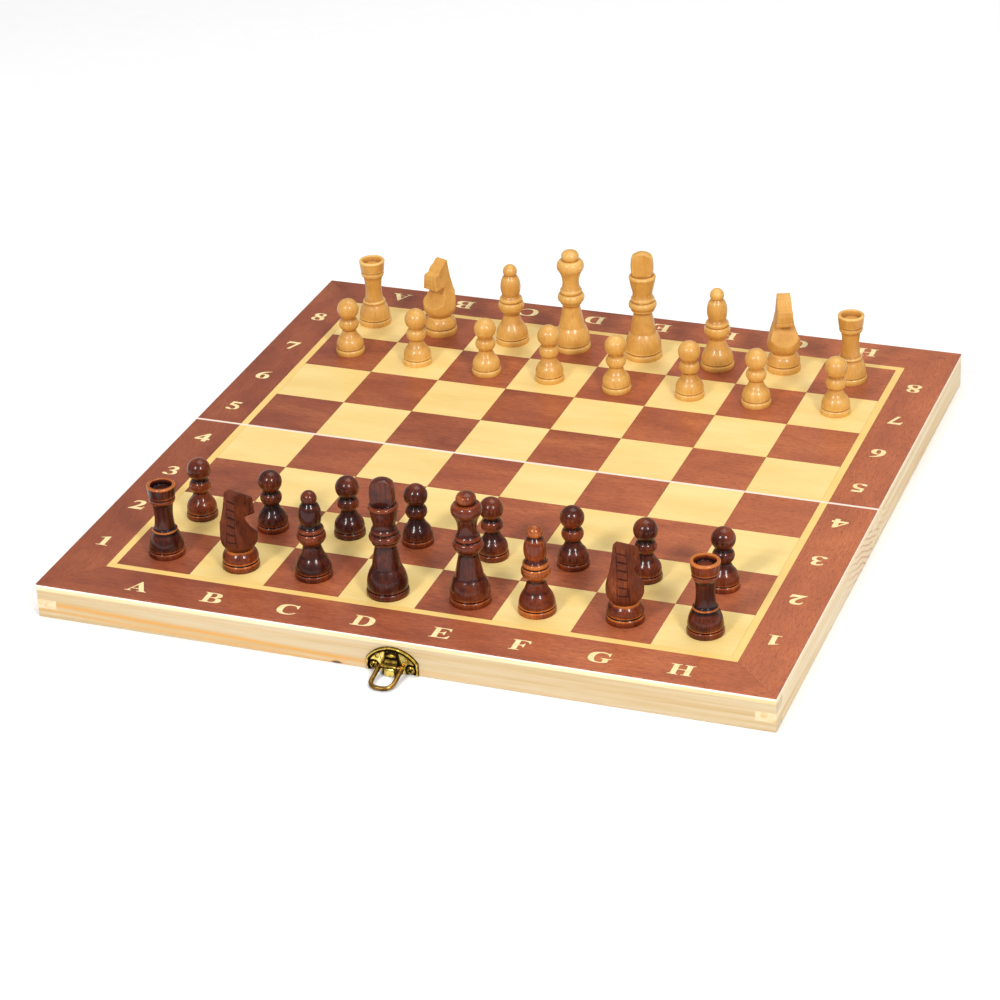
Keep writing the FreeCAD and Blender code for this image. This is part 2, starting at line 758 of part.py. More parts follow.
# The king's finial is a fan: its cone is sawn flat on two sides.
fan_half = king_foot * 0.145
flats = []
for side, word in ((-1, "front"), (1, "back")):
    y = fan_half if side > 0 else -fan_half - king_foot
    flats.append(box("fan_" + word, -king_foot, y, king_tall * 0.785, king_foot * 2, king_foot, king_tall))
king_cut = cut("king_cut", king_turned, joined("fan_flats", flats))


# The knight's head is sawn from a turned blank: a profile looking +X, a tapered
# front view and the round blank all have to agree.
def slab(name, corners, bends, turn, thick):
    sketch = doc.addObject("Sketcher::SketchObject", name + "_outline")
    sketch.Placement = Placement(Vector(), turn)
    outline(sketch, corners, bends)
    solid = doc.addObject("Part::Extrusion", name)
    solid.Base = sketch
    solid.DirMode = "Normal"
    solid.Solid = True
    bind(solid, "LengthFwd", thick)
    bind(solid, "LengthRev", thick)
    return solid


def head_points(pairs):
    return [(knight_foot / 2 * (x / 100), knight_tall * (z / 100)) for x, z in pairs]


side_view = head_points([
    (-104, 23.6), (104, 23.6), (102, 38.6), (3, 65.6), (76, 64.2), (80, 78), (74, 84.4),
    (37, 85.8), (4, 93.6), (-26, 99.4), (-42, 100), (-50, 86), (-68, 62), (-96, 38), (-102, 33),
])
hollow = {2: head_points([(46, 47.5)])[0], 7: head_points([(24, 91.0)])[0]}
front_view = head_points([
    (-100, 23.6), (100, 23.6), (98, 35.5), (84, 44.4), (57, 61), (46, 76), (39, 100),
    (-39, 100), (-46, 76), (-57, 61), (-84, 44.4), (-98, 35.5),
])
upright = Rotation(Vector(1, 0, 0), 90)
sideways = Rotation(Vector(0, 0, 1), 90) * upright
head_side = slab("head_side_view", side_view, hollow, upright, knight_foot)
head_front = slab("head_front_view", front_view, {}, sideways, knight_foot)
BLANK = [
    (68.0, 23.6), (70.6, 25.6, 88.2, 29.2), (97.6, 36.0), (97.6, 44.0), (90.0, 76.0),
    (84.0, 102), (0, 102),
]
blank = turned("knight_blank", knight_foot, knight_tall, BLANK)
lift = cut("knight_blank_top", blank, rod("knight_blank_room", knight_foot, knight_tall * 0.236))
two_views = doc.addObject("Part::Common", "head_two_views")
two_views.Base = head_side
two_views.Tool = head_front
knight_head = doc.addObject("Part::Common", "knight_head")
knight_head.Base = two_views
knight_head.Tool = lift

# The dark knights were sawn a little shorter, flat across the poll.
crown = box("crown_room", -knight_foot, -knight_foot, knight_tall * 0.95, knight_foot * 2,
            knight_foot * 2, knight_tall)
short_head = cut("knight_short_head", knight_head, crown)


# ---------------------------------------------------------------- set out
# Each piece stands near the middle of its square, a little off as a hand leaves it:
# the two numbers are its offset in millimetres, the third its turn in degrees.
SHAPES = {
    "pawn": [pawn_turned], "rook": [rook_turned], "bishop": [bishop_turned],
    "queen": [queen_turned], "king": [king_cut], "dark_knight": [knight_turned, short_head],
    "light_knight": [knight_turned, knight_head],
}
SET_OUT = [
    ("dark", "rook", "a1", -0.2, -2.3, 0), ("dark", "knight", "b1", 1.2, -3.8, 68),
    ("dark", "bishop", "c1", 0.1, -2.5, 0), ("dark", "king", "d1", 1.7, -7.6, 4),
    ("dark", "queen", "e1", 3.2, -4.2, 0), ("dark", "bishop", "f1", -1.8, -4.3, 0),
    ("dark", "knight", "g1", 1.2, -0.6, 82), ("dark", "rook", "h1", 1.4, -1.1, 0),
    ("dark", "pawn", "a2", 0.2, -1.0, 0), ("dark", "pawn", "b2", 0.7, -2.9, 0),
    ("dark", "pawn", "c2", 0.9, 1.5, 0), ("dark", "pawn", "d2", -2.4, 2.9, 0),
    ("dark", "pawn", "e2", -1.2, 0.3, 0), ("dark", "pawn", "f2", 0.1, 2.6, 0),
    ("dark", "pawn", "g2", -1.3, 0.7, 0), ("dark", "pawn", "h2", -2.3, 2.4, 0),
    ("light", "rook", "a8", -2.3, 2.1, 0), ("light", "knight", "b8", -1.2, 0.4, 249),
    ("light", "bishop", "c8", 2.3, -0.3, 0), ("light", "queen", "d8", -1.5, 0.4, 0),
    ("light", "king", "e8", 0.1, 1.1, 14), ("light", "bishop", "f8", 3.4, -0.7, 0),
    ("light", "knight", "g8", 0.1, 4.9, -68), ("light", "rook", "h8", -1.2, 2.1, 0),
    ("light", "pawn", "a7", -1.0, 1.1, 0), ("light", "pawn", "b7", 0.6, -1.1, 0),
    ("light", "pawn", "c7", 2.3, -2.6, 0), ("light", "pawn", "d7", -0.5, -1.7, 0),
    ("light", "pawn", "e7", -0.8, -3.7, 0), ("light", "pawn", "f7", -0.1, -0.6, 0),
    ("light", "pawn", "g7", -2.3, -0.3, 0), ("light", "pawn", "h7", 1.1, 1.3, 0),
]
for tone, kind, square, aside, ahead, turn in SET_OUT:
    label = tone + "_" + kind + "_" + square
    piece = together(label, SHAPES[kind if kind in SHAPES else tone + "_" + kind])
    file = "abcdefgh".index(square[0])
    rank = int(square[1]) - 1
    piece.Placement = Placement(Vector(), Rotation(Vector(0, 0, 1), turn))
    put(piece, square_side * (file - 3.5) + aside, square_side * (rank - 3.5) + ahead, top)
    node(piece, label)


# ---------------------------------------------------------------- write
doc.recompute()
for thing in doc.Objects:
    if "Invalid" in thing.State or "Error" in thing.State:
        raise RuntimeError("failed: " + thing.Name + " " + str(thing.State))
os.makedirs("parts", exist_ok=True)
for thing in TO_EXPORT:
    shape = thing.Shape
    if shape.isNull() or not shape.isValid() or not shape.Solids:
        raise RuntimeError("bad shape: " + thing.Label)
for thing in TO_EXPORT:
    thing.Shape.exportStep("parts/" + thing.Label + ".step")
    bounds = thing.Shape.BoundBox
    low = [round(v, 2) for v in (bounds.XMin, bounds.YMin, bounds.ZMin)]
    high = [round(v, 2) for v in (bounds.XMax, bounds.YMax, bounds.ZMax)]
    print(thing.Label, len(thing.Shape.Solids), round(thing.Shape.Volume, 2), low, high)
print(len(TO_EXPORT), "sub-parts")
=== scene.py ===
import math
import random

import bmesh
import bpy
from mathutils import Matrix, Vector, geometry, noise


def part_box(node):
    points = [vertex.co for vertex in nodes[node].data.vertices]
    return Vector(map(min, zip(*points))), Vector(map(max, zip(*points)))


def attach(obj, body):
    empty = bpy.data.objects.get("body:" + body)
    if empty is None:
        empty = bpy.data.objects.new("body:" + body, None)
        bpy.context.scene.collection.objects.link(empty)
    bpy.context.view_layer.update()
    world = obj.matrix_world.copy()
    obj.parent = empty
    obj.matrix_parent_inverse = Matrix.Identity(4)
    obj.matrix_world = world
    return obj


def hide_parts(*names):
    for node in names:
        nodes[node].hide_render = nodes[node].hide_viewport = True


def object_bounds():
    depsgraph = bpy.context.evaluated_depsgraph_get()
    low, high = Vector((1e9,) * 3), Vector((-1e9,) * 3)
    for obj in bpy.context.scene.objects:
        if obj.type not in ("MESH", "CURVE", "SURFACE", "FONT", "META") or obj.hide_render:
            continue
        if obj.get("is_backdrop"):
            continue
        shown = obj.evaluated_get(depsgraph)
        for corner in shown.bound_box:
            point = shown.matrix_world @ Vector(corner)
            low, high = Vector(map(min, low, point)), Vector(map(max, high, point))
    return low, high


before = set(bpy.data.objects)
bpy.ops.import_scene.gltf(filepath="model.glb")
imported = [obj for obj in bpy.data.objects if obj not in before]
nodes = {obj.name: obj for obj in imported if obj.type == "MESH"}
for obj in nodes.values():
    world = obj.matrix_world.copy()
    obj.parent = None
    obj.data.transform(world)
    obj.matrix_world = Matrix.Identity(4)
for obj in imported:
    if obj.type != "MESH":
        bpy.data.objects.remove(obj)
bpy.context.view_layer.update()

# ---------------------------------------------------------------- camera
# The set is looked at from the near right, a little above the players' eye line,
# from far enough away that the board's edges stay nearly parallel.
eye = Vector((0.4681, -1.2411, 0.7024))
forward = Vector((-0.3194, 0.8231, -0.4696)).normalized()
camera_lean = math.radians(-2.45)
level_right = forward.cross(Vector((0, 0, 1))).normalized()
level_up = level_right.cross(forward)
right = level_right * math.cos(camera_lean) + level_up * math.sin(camera_lean)
up = right.cross(forward)
camera_data = bpy.data.cameras.new("camera")
camera_data.sensor_width = 36
camera_data.lens = 114.2
camera = bpy.data.objects.new("camera", camera_data)
turn = Matrix((right, up, -forward)).transposed()
camera.matrix_world = Matrix.Translation(eye) @ turn.to_4x4()
bpy.context.scene.collection.objects.link(camera)
bpy.context.scene.camera = camera
bpy.context.scene.view_settings.view_transform = "Standard"


# ---------------------------------------------------------------- floor and light
# The set stands on a plain white studio sheet under a broad overhead glow, with two
# soft boxes at the front that put a pair of soft highlights on every turned piece.
def linear(code):
    """A linear colour from an sRGB hex code."""
    parts = [int(code[i:i + 2], 16) / 255 for i in (1, 3, 5)]
    curve = [p / 12.92 if p <= 0.04045 else ((p + 0.055) / 1.055) ** 2.4 for p in parts]
    return (*curve, 1.0)


def add(tree, kind, values=None, links=None, stops=None, **settings):
    """One shader node: settings are its own, values and links go to its inputs, and
    stops are the places and colours of a colour ramp. A link is a node or (node, output)."""
    made = tree.nodes.new("ShaderNode" + kind)
    for name, value in settings.items():
        setattr(made, name, value)
    for key, value in (values or {}).items():
        made.inputs[key].default_value = value
    for key, source in (links or {}).items():
        start, output = source if isinstance(source, tuple) else (source, 0)
        tree.links.new(start.outputs[output], made.inputs[key])
    if stops:
        ramp = made.color_ramp
        while len(ramp.elements) < len(stops):
            ramp.elements.new(0.5)
        for element, (place, code) in zip(ramp.elements, stops):
            element.position = place
            element.color = linear(code)
    return made


def new_material(name):
    material = bpy.data.materials.new(name)
    material.use_nodes = True
    material.node_tree.nodes.clear()
    return material, material.node_tree


def surface(tree, links, **finish):
    """Closes a material: links feed its Principled shader and finish sets that shader's
    own sockets."""
    values = {key.replace("_", " "): value for key, value in finish.items()}
    shader = add(tree, "BsdfPrincipled", values, links)
    add(tree, "OutputMaterial", links={"Surface": shader})


def put_material(thing, material):
    thing.data.materials.clear()
    thing.data.materials.append(material)


floor_mesh = bpy.data.meshes.new("floor")
floor_mesh.from_pydata([(-6, -6, 0), (6, -6, 0), (6, 6, 0), (-6, 6, 0)], [], [(0, 1, 2, 3)])
floor = bpy.data.objects.new("floor", floor_mesh)
floor.location.z = -0.0002
bpy.context.scene.collection.objects.link(floor)
paper, tree = new_material("white_paper")
paper_fibre = add(tree, "TexNoise", {"Scale": 900.0, "Detail": 3.0})
paper_tone = add(tree, "ValToRGB", links={"Fac": paper_fibre},
                 stops=[(0.3, "#FDFDFD"), (0.7, "#FFFFFF")])
surface(tree, {"Base Color": paper_tone}, Roughness=0.9)
put_material(floor, paper)
floor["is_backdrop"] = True

world = bpy.data.worlds.new("studio")
world.use_nodes = True
bpy.context.scene.world = world
glow = world.node_tree.nodes["Background"]
glow.inputs["Color"].default_value = linear("#FFFFFF")
glow.inputs["Strength"].default_value = 0.36


def soft_box(name, place, wide, tall, watts):
    lamp = bpy.data.lights.new(name, "AREA")
    lamp.shape = "RECTANGLE"
    lamp.size = wide
    lamp.size_y = tall
    lamp.energy = watts
    made = bpy.data.objects.new(name, lamp)
    made.location = place
    made.rotation_euler = (-Vector(place)).to_track_quat("-Z", "Y").to_euler()
    bpy.context.scene.collection.objects.link(made)


soft_box("left_box", (-0.5, -1.9, 1.5), 0.36, 0.66, 26.5)
soft_box("right_box", (1.45, -1.4, 1.5), 0.36, 0.66, 29)
soft_box("top_box", (0.2, 0.5, 2.2), 1.5, 1.5, 21)

# ---------------------------------------------------------------- pine rails
# Both trays are framed in knotty pine, planed and lacquered thinly, with glued finger
# joints at the corners. The pale sapwood shows amber growth rings along each rail.
SIDE_PINE = ("#E8D8B8", "#E2CCA2", "#DABC88", "#D2AC72")
FRONT_PINE = ("#D2C1A2", "#CCB68E", "#C4A776", "#BB9560")
RING_AMBER = "#D39A4A"
PINK_FIGURE = "#C48A6A"
KNOT_HALO, KNOT = "#D29A4E", "#4A2A1A"


def stretched(tree, across, along, axis, shift=0.0):
    """Object coordinates in which a grain pattern is drawn out along one axis: across
    and along are how many times a metre the pattern changes."""
    place = add(tree, "TexCoord")
    scale = [across] * 3
    scale[axis] = along
    return add(tree, "Mapping", {"Scale": scale, "Location": (shift,) * 3}, {"Vector": (place, 3)})


def pine(name, axis, tones, figure=None):
    wood, tree = new_material(name)
    rings = add(tree, "TexNoise", {"Scale": 1.0, "Detail": 3.0, "Distortion": 0.35},
                {"Vector": stretched(tree, 330, 7, axis)})
    tone = add(tree, "ValToRGB", links={"Fac": rings},
               stops=list(zip((0.3, 0.52, 0.66, 0.8), tones)))
    fibre = add(tree, "TexNoise", {"Scale": 1.0, "Detail": 4.0, "Roughness": 0.6},
                {"Vector": stretched(tree, 2600, 45, axis, 3.0)})
    fibre_tone = add(tree, "ValToRGB", links={"Fac": fibre},
                     stops=[(0.3, "#EADBC4"), (0.7, "#FFFFFF")])
    last = (add(tree, "Mix", {0: 0.55}, {6: tone, 7: fibre_tone},
                data_type="RGBA", blend_type="MULTIPLY"), 2)
    if figure:
        place = add(tree, "SeparateXYZ", links={"Vector": (add(tree, "TexCoord"), 3)})
        last = figure(tree, place, last)
    bump = add(tree, "Bump", {"Strength": 0.12, "Distance": 0.00012}, {"Height": fibre})
    surface(tree, {"Base Color": last, "Normal": bump},
            Roughness=0.5, IOR=1.5, Coat_Weight=0.12, Coat_Roughness=0.3)
    return wood


def front_streak(tree, place, last):
    """Two amber rings and a faint third that run the left half of the front rail, and
    its small knot. A ring is (height, slope, thickness, strength)."""
    waver = add(tree, "TexNoise", {"Scale": 1.0, "Detail": 2.0},
                {"Vector": stretched(tree, 40, 14, 0, 7.0)})
    swing = add(tree, "Math", {1: 0.5}, {0: waver}, operation="SUBTRACT")
    fade = add(tree, "MapRange", {1: -0.03, 2: 0.03, 3: 1.0, 4: 0.18}, {"Value": (place, 0)})
    for start, slope, thick, strength in ((0.0026, -0.026, 0.0012, 0.95),
                                          (-0.0006, -0.024, 0.0009, 0.7),
                                          (0.0105, -0.012, 0.0005, 0.25)):
        line = add(tree, "Math", {1: slope, 2: start}, {0: (place, 0)}, operation="MULTIPLY_ADD")
        wave = add(tree, "Math", {1: 0.0035}, {0: swing, 2: line}, operation="MULTIPLY_ADD")
        gap = add(tree, "Math", links={0: (place, 2), 1: wave}, operation="SUBTRACT")
        off = add(tree, "Math", {1: thick}, {0: gap}, operation="DIVIDE")
        square = add(tree, "Math", links={0: off, 1: off}, operation="MULTIPLY")
        fall = add(tree, "Math", {1: -1.0}, {0: square}, operation="MULTIPLY")
        soft = add(tree, "Math", links={0: fall}, operation="EXPONENT")
        faded = add(tree, "Math", links={0: soft, 1: fade}, operation="MULTIPLY")
        mask = add(tree, "Math", {1: strength}, {0: faded}, operation="MULTIPLY")
        last = (add(tree, "Mix", {7: linear(RING_AMBER)}, {0: mask, 6: last}, data_type="RGBA"), 2)
    middle = add(tree, "CombineXYZ", {0: -0.0262, 1: -0.17, 2: 0.0})
    offset = add(tree, "VectorMath", links={0: (add(tree, "TexCoord"), 3), 1: middle},
                 operation="SUBTRACT")
    squash = add(tree, "VectorMath", {1: (0.42, 0.2, 0.85)}, {0: offset}, operation="MULTIPLY")
    reach = (add(tree, "VectorMath", links={0: squash}, operation="LENGTH"), 1)
    for inner, outer, strength, code in ((0.0012, 0.0028, 0.4, KNOT_HALO), (0.0007, 0.0013, 0.9, KNOT)):
        mask = add(tree, "MapRange", {1: inner, 2: outer, 3: strength, 4: 0.0}, {"Value": reach})
        last = (add(tree, "Mix", {7: linear(code)}, {0: mask, 6: last}, data_type="RGBA"), 2)
    return last


def pink_figure(tree, place, last):
    """Slanting pink-brown growth lines near the seam, where the rail was cut by a knot."""
    waver = add(tree, "TexNoise", {"Scale": 45.0, "Detail": 2.0},
                {"Vector": (add(tree, "TexCoord"), 3)})
    slant = add(tree, "Math", {1: 2.4}, {0: (place, 2), 2: (place, 1)}, operation="MULTIPLY_ADD")
    bent = add(tree, "Math", {1: 0.022}, {0: waver, 2: slant}, operation="MULTIPLY_ADD")
    turns = add(tree, "Math", {1: 820.0}, {0: bent}, operation="MULTIPLY")
    wave = add(tree, "Math", links={0: turns}, operation="SINE")
    lines = add(tree, "MapRange", {1: 0.2, 2: 0.9, 3: 0.0, 4: 0.85}, {"Value": wave})
    shifted = add(tree, "Math", {1: 0.019}, {0: (place, 1)}, operation="ADD")
    near = add(tree, "Math", links={0: shifted}, operation="ABSOLUTE")
    reach = add(tree, "MapRange", {1: 0.01, 2: 0.045, 3: 1.0, 4: 0.0}, {"Value": near})
    mask = add(tree, "Math", links={0: lines, 1: reach}, operation="MULTIPLY")
    return add(tree, "Mix", {7: linear(PINK_FIGURE)}, {0: mask, 6: last}, data_type="RGBA"), 2


pine_across = pine("pine_rail_across", 0, SIDE_PINE)
pine_along = pine("pine_rail_along", 1, SIDE_PINE, pink_figure)
pine_front = pine("pine_front_rail", 0, FRONT_PINE, front_streak)
for name in ("near_left_rail", "near_right_rail", "far_left_rail", "far_right_rail"):
    put_material(nodes[name], pine_along)
for name in ("near_hinge_rail", "far_hinge_rail", "far_back_rail"):
    put_material(nodes[name], pine_across)
put_material(nodes["near_front_rail"], pine_front)

# ---------------------------------------------------------------- panels
# Each tray's top is a thin basswood plywood panel glued on the rails. Its sawn edge
# shows as a bright line under the veneer, pale face ply with a painted highlight of the
# eased top edge, and its bare underside lines the tray.
panel_wood, tree = new_material("basswood_panel")
grain = add(tree, "TexNoise", {"Scale": 1.0, "Detail": 4.0, "Distortion": 0.2},
            {"Vector": stretched(tree, 420, 12, 0)})
grain_tone = add(tree, "ValToRGB", links={"Fac": grain},
                 stops=[(0.3, "#EEDCB6"), (0.55, "#E9D0A0"), (0.75, "#DDBC86")])
place = add(tree, "SeparateXYZ", links={"Vector": (add(tree, "TexCoord"), 3)})
panel_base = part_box("near_panel")[0].z
# The top band of the panel's edge is near white: pale face ply, plus a painted highlight where the eased
# top edge would catch the light.
top_ply_and_highlight = add(tree, "MapRange", {1: panel_base + 0.0016, 2: panel_base + 0.0019, 3: 0.0, 4: 0.85},
              {"Value": (place, 2)})
bright = add(tree, "Mix", {7: linear("#FFF3E6")}, {0: top_ply_and_highlight, 6: grain_tone}, data_type="RGBA")
bump = add(tree, "Bump", {"Strength": 0.15, "Distance": 0.0001}, {"Height": grain})
surface(tree, {"Base Color": (bright, 2), "Normal": bump}, Roughness=0.6, IOR=1.5)
for name in ("near_panel", "far_panel"):
    put_material(nodes[name], panel_wood)

# ---------------------------------------------------------------- veneers
# The playing face is thin veneer lacquered satin: sapele for the dark squares and the
# border, bleached maple for the light squares and the line round them. It is sanded back
# at the seam, where the pale panel shows as a thin line.
SQUARE = 0.0358
SAPELE = ("#86402A", "#AD5D3A", "#C87648")
MAPLE = ("#EDCB7C", "#F3D488", "#F8DC94")
LEAF_WARM, LEFT_PAINTED_SHADE, RIGHT_PAINTED_LIGHT, PORE = "#C0653A", "#6E3322", "#CC7A50", "#6A3024"
LINE_GOLD = "#F2C66C"
SEAM_PALE = "#FFEEDF"


def seam_line(tree, place, last):
    gap = add(tree, "Math", links={0: (place, 1)}, operation="ABSOLUTE")
    bright_level = add(tree, "MapRange", {1: 0.0005, 2: 0.0009, 3: 0.95, 4: 0.0}, {"Value": gap})
    return add(tree, "Mix", {7: linear(SEAM_PALE)}, {0: bright_level, 6: last}, data_type="RGBA"), 2


def square_chance(tree, place, row_step):
    """A random value and colour for each square, so that each is its own leaf."""
    steps = []
    for axis in (0, 1):
        at_square = add(tree, "Math", {1: SQUARE}, {0: (place, axis)}, operation="DIVIDE")
        steps.append(add(tree, "Math", links={0: at_square}, operation="FLOOR"))
    cell = add(tree, "Math", {1: row_step}, {0: steps[1], 2: steps[0]}, operation="MULTIPLY_ADD")
    return add(tree, "TexWhiteNoise", links={"W": cell}, noise_dimensions="1D")


def away_from_middle(tree, place):
    return [add(tree, "Math", links={0: (place, axis)}, operation="ABSOLUTE") for axis in (0, 1)]


def sapele(name, border):
    """Fine interlocked grain with short dark pores; each square is its own leaf, and
    the border's grain turns at the mitres."""
    wood, tree = new_material(name)
    at = add(tree, "TexCoord")
    place = add(tree, "SeparateXYZ", links={"Vector": (at, 3)})
    if border:
        wide, deep = away_from_middle(tree, place)
        side = add(tree, "Math", links={0: wide, 1: deep}, operation="GREATER_THAN")
        swapped = add(tree, "CombineXYZ", links={0: (place, 1), 1: (place, 0), 2: (place, 2)})
        leaf = add(tree, "Mix", links={0: side, 4: (at, 3), 5: swapped}, data_type="VECTOR")
        leaf_at = (leaf, 1)
        cell = add(tree, "Math", {1: 3.1}, {0: side}, operation="MULTIPLY")
        chance = add(tree, "TexWhiteNoise", links={"W": cell}, noise_dimensions="1D")
    else:
        leaf_at = (at, 3)
        chance = square_chance(tree, place, 13.7)
    jump = add(tree, "VectorMath", {1: (0.4, 0.4, 0.4)}, {0: (chance, 1)}, operation="MULTIPLY")
    moved = add(tree, "VectorMath", links={0: leaf_at, 1: jump}, operation="ADD")
    cloud_at = add(tree, "Mapping", {"Scale": (22, 55, 22)}, {"Vector": moved})
    cloud = add(tree, "TexNoise", {"Scale": 1.0, "Detail": 3.0, "Distortion": 0.6},
                {"Vector": cloud_at})
    tone = add(tree, "ValToRGB", links={"Fac": cloud}, stops=list(zip((0.25, 0.5, 0.75), SAPELE)))
    grain_at = add(tree, "Mapping", {"Scale": (160, 1500, 160)}, {"Vector": moved})
    grain = add(tree, "TexNoise", {"Scale": 1.0, "Detail": 4.0, "Roughness": 0.65},
                {"Vector": grain_at})
    grain_tone = add(tree, "ValToRGB", links={"Fac": grain},
                     stops=[(0.32, "#8C6A5C"), (0.5, "#DCCABE"), (0.66, "#FFFFFF")])
    last = (add(tree, "Mix", {0: 0.6}, {6: tone, 7: grain_tone},
                data_type="RGBA", blend_type="MULTIPLY"), 2)
    pore_at = add(tree, "Mapping", {"Scale": (420, 3600, 420)}, {"Vector": moved})
    pores = add(tree, "TexNoise", {"Scale": 1.0, "Detail": 1.0}, {"Vector": pore_at})
    # Besides each leaf's colour and the pores, the face is painted darker towards the board's left edge and
    # lighter towards its right edge: painted shade and painted light.
    for source, low, high, least, most, code in (
            ((chance, 0), 0.0, 1.0, 0.0, 0.3, LEAF_WARM), ((place, 0), -0.17, 0.02, 0.42, 0.0, LEFT_PAINTED_SHADE),
            ((place, 0), 0.0, 0.17, 0.0, 0.3, RIGHT_PAINTED_LIGHT), (pores, 0.58, 0.66, 0.0, 0.55, PORE)):
        mask = add(tree, "MapRange", {1: low, 2: high, 3: least, 4: most}, {"Value": source})
        last = (add(tree, "Mix", {7: linear(code)}, {0: mask, 6: last}, data_type="RGBA"), 2)
    bump = add(tree, "Bump", {"Strength": 0.08, "Distance": 0.00008}, {"Height": grain})
    surface(tree, {"Base Color": seam_line(tree, place, last), "Normal": bump},
            Roughness=0.45, IOR=1.5, Coat_Weight=0.2, Coat_Roughness=0.28,
            Specular_IOR_Level=0.35)
    return wood


dark_veneer = sapele("sapele_squares", False)
border_veneer = sapele("sapele_border", True)

light_veneer, tree = new_material("maple_squares")
at = add(tree, "TexCoord")
place = add(tree, "SeparateXYZ", links={"Vector": (at, 3)})
chance = square_chance(tree, place, 11.3)
moved = add(tree, "VectorMath", links={0: (at, 3), 1: (chance, 1)}, operation="ADD")
ripple_at = add(tree, "Mapping", {"Scale": (14, 60, 14)}, {"Vector": moved})
ripple = add(tree, "TexNoise", {"Scale": 1.0, "Detail": 3.0}, {"Vector": ripple_at})
tone = add(tree, "ValToRGB", links={"Fac": ripple}, stops=list(zip((0.3, 0.5, 0.72), MAPLE)))
fine_at = add(tree, "Mapping", {"Scale": (120, 1600, 120)}, {"Vector": moved})
fine = add(tree, "TexNoise", {"Scale": 1.0, "Detail": 3.0}, {"Vector": fine_at})
fine_tone = add(tree, "ValToRGB", links={"Fac": fine}, stops=[(0.3, "#EBD9B8"), (0.6, "#FFFFFF")])
mixed = add(tree, "Mix", {0: 0.22}, {6: tone, 7: fine_tone}, data_type="RGBA", blend_type="MULTIPLY")
wide, deep = away_from_middle(tree, place)
furthest = add(tree, "Math", links={0: wide, 1: deep}, operation="MAXIMUM")
outside = add(tree, "Math", {1: SQUARE * 4}, {0: furthest}, operation="GREATER_THAN")
line_mask = add(tree, "Math", {1: 0.55}, {0: outside}, operation="MULTIPLY")
lined = add(tree, "Mix", {7: linear(LINE_GOLD)}, {0: line_mask, 6: (mixed, 2)}, data_type="RGBA")
surface(tree, {"Base Color": seam_line(tree, place, (lined, 2))},
        Roughness=0.4, IOR=1.5, Coat_Weight=0.3, Coat_Roughness=0.3)
for half in ("near", "far"):
    put_material(nodes[half + "_dark_squares"], dark_veneer)
    put_material(nodes[half + "_light_squares"], light_veneer)
    put_material(nodes[half + "_border"], border_veneer)

# ---------------------------------------------------------------- letters and numbers
# File letters and rank numbers are printed in cream on the border, in a bold serif
# face 8.2 mm tall. The far letters and the right-hand numbers face the other player.

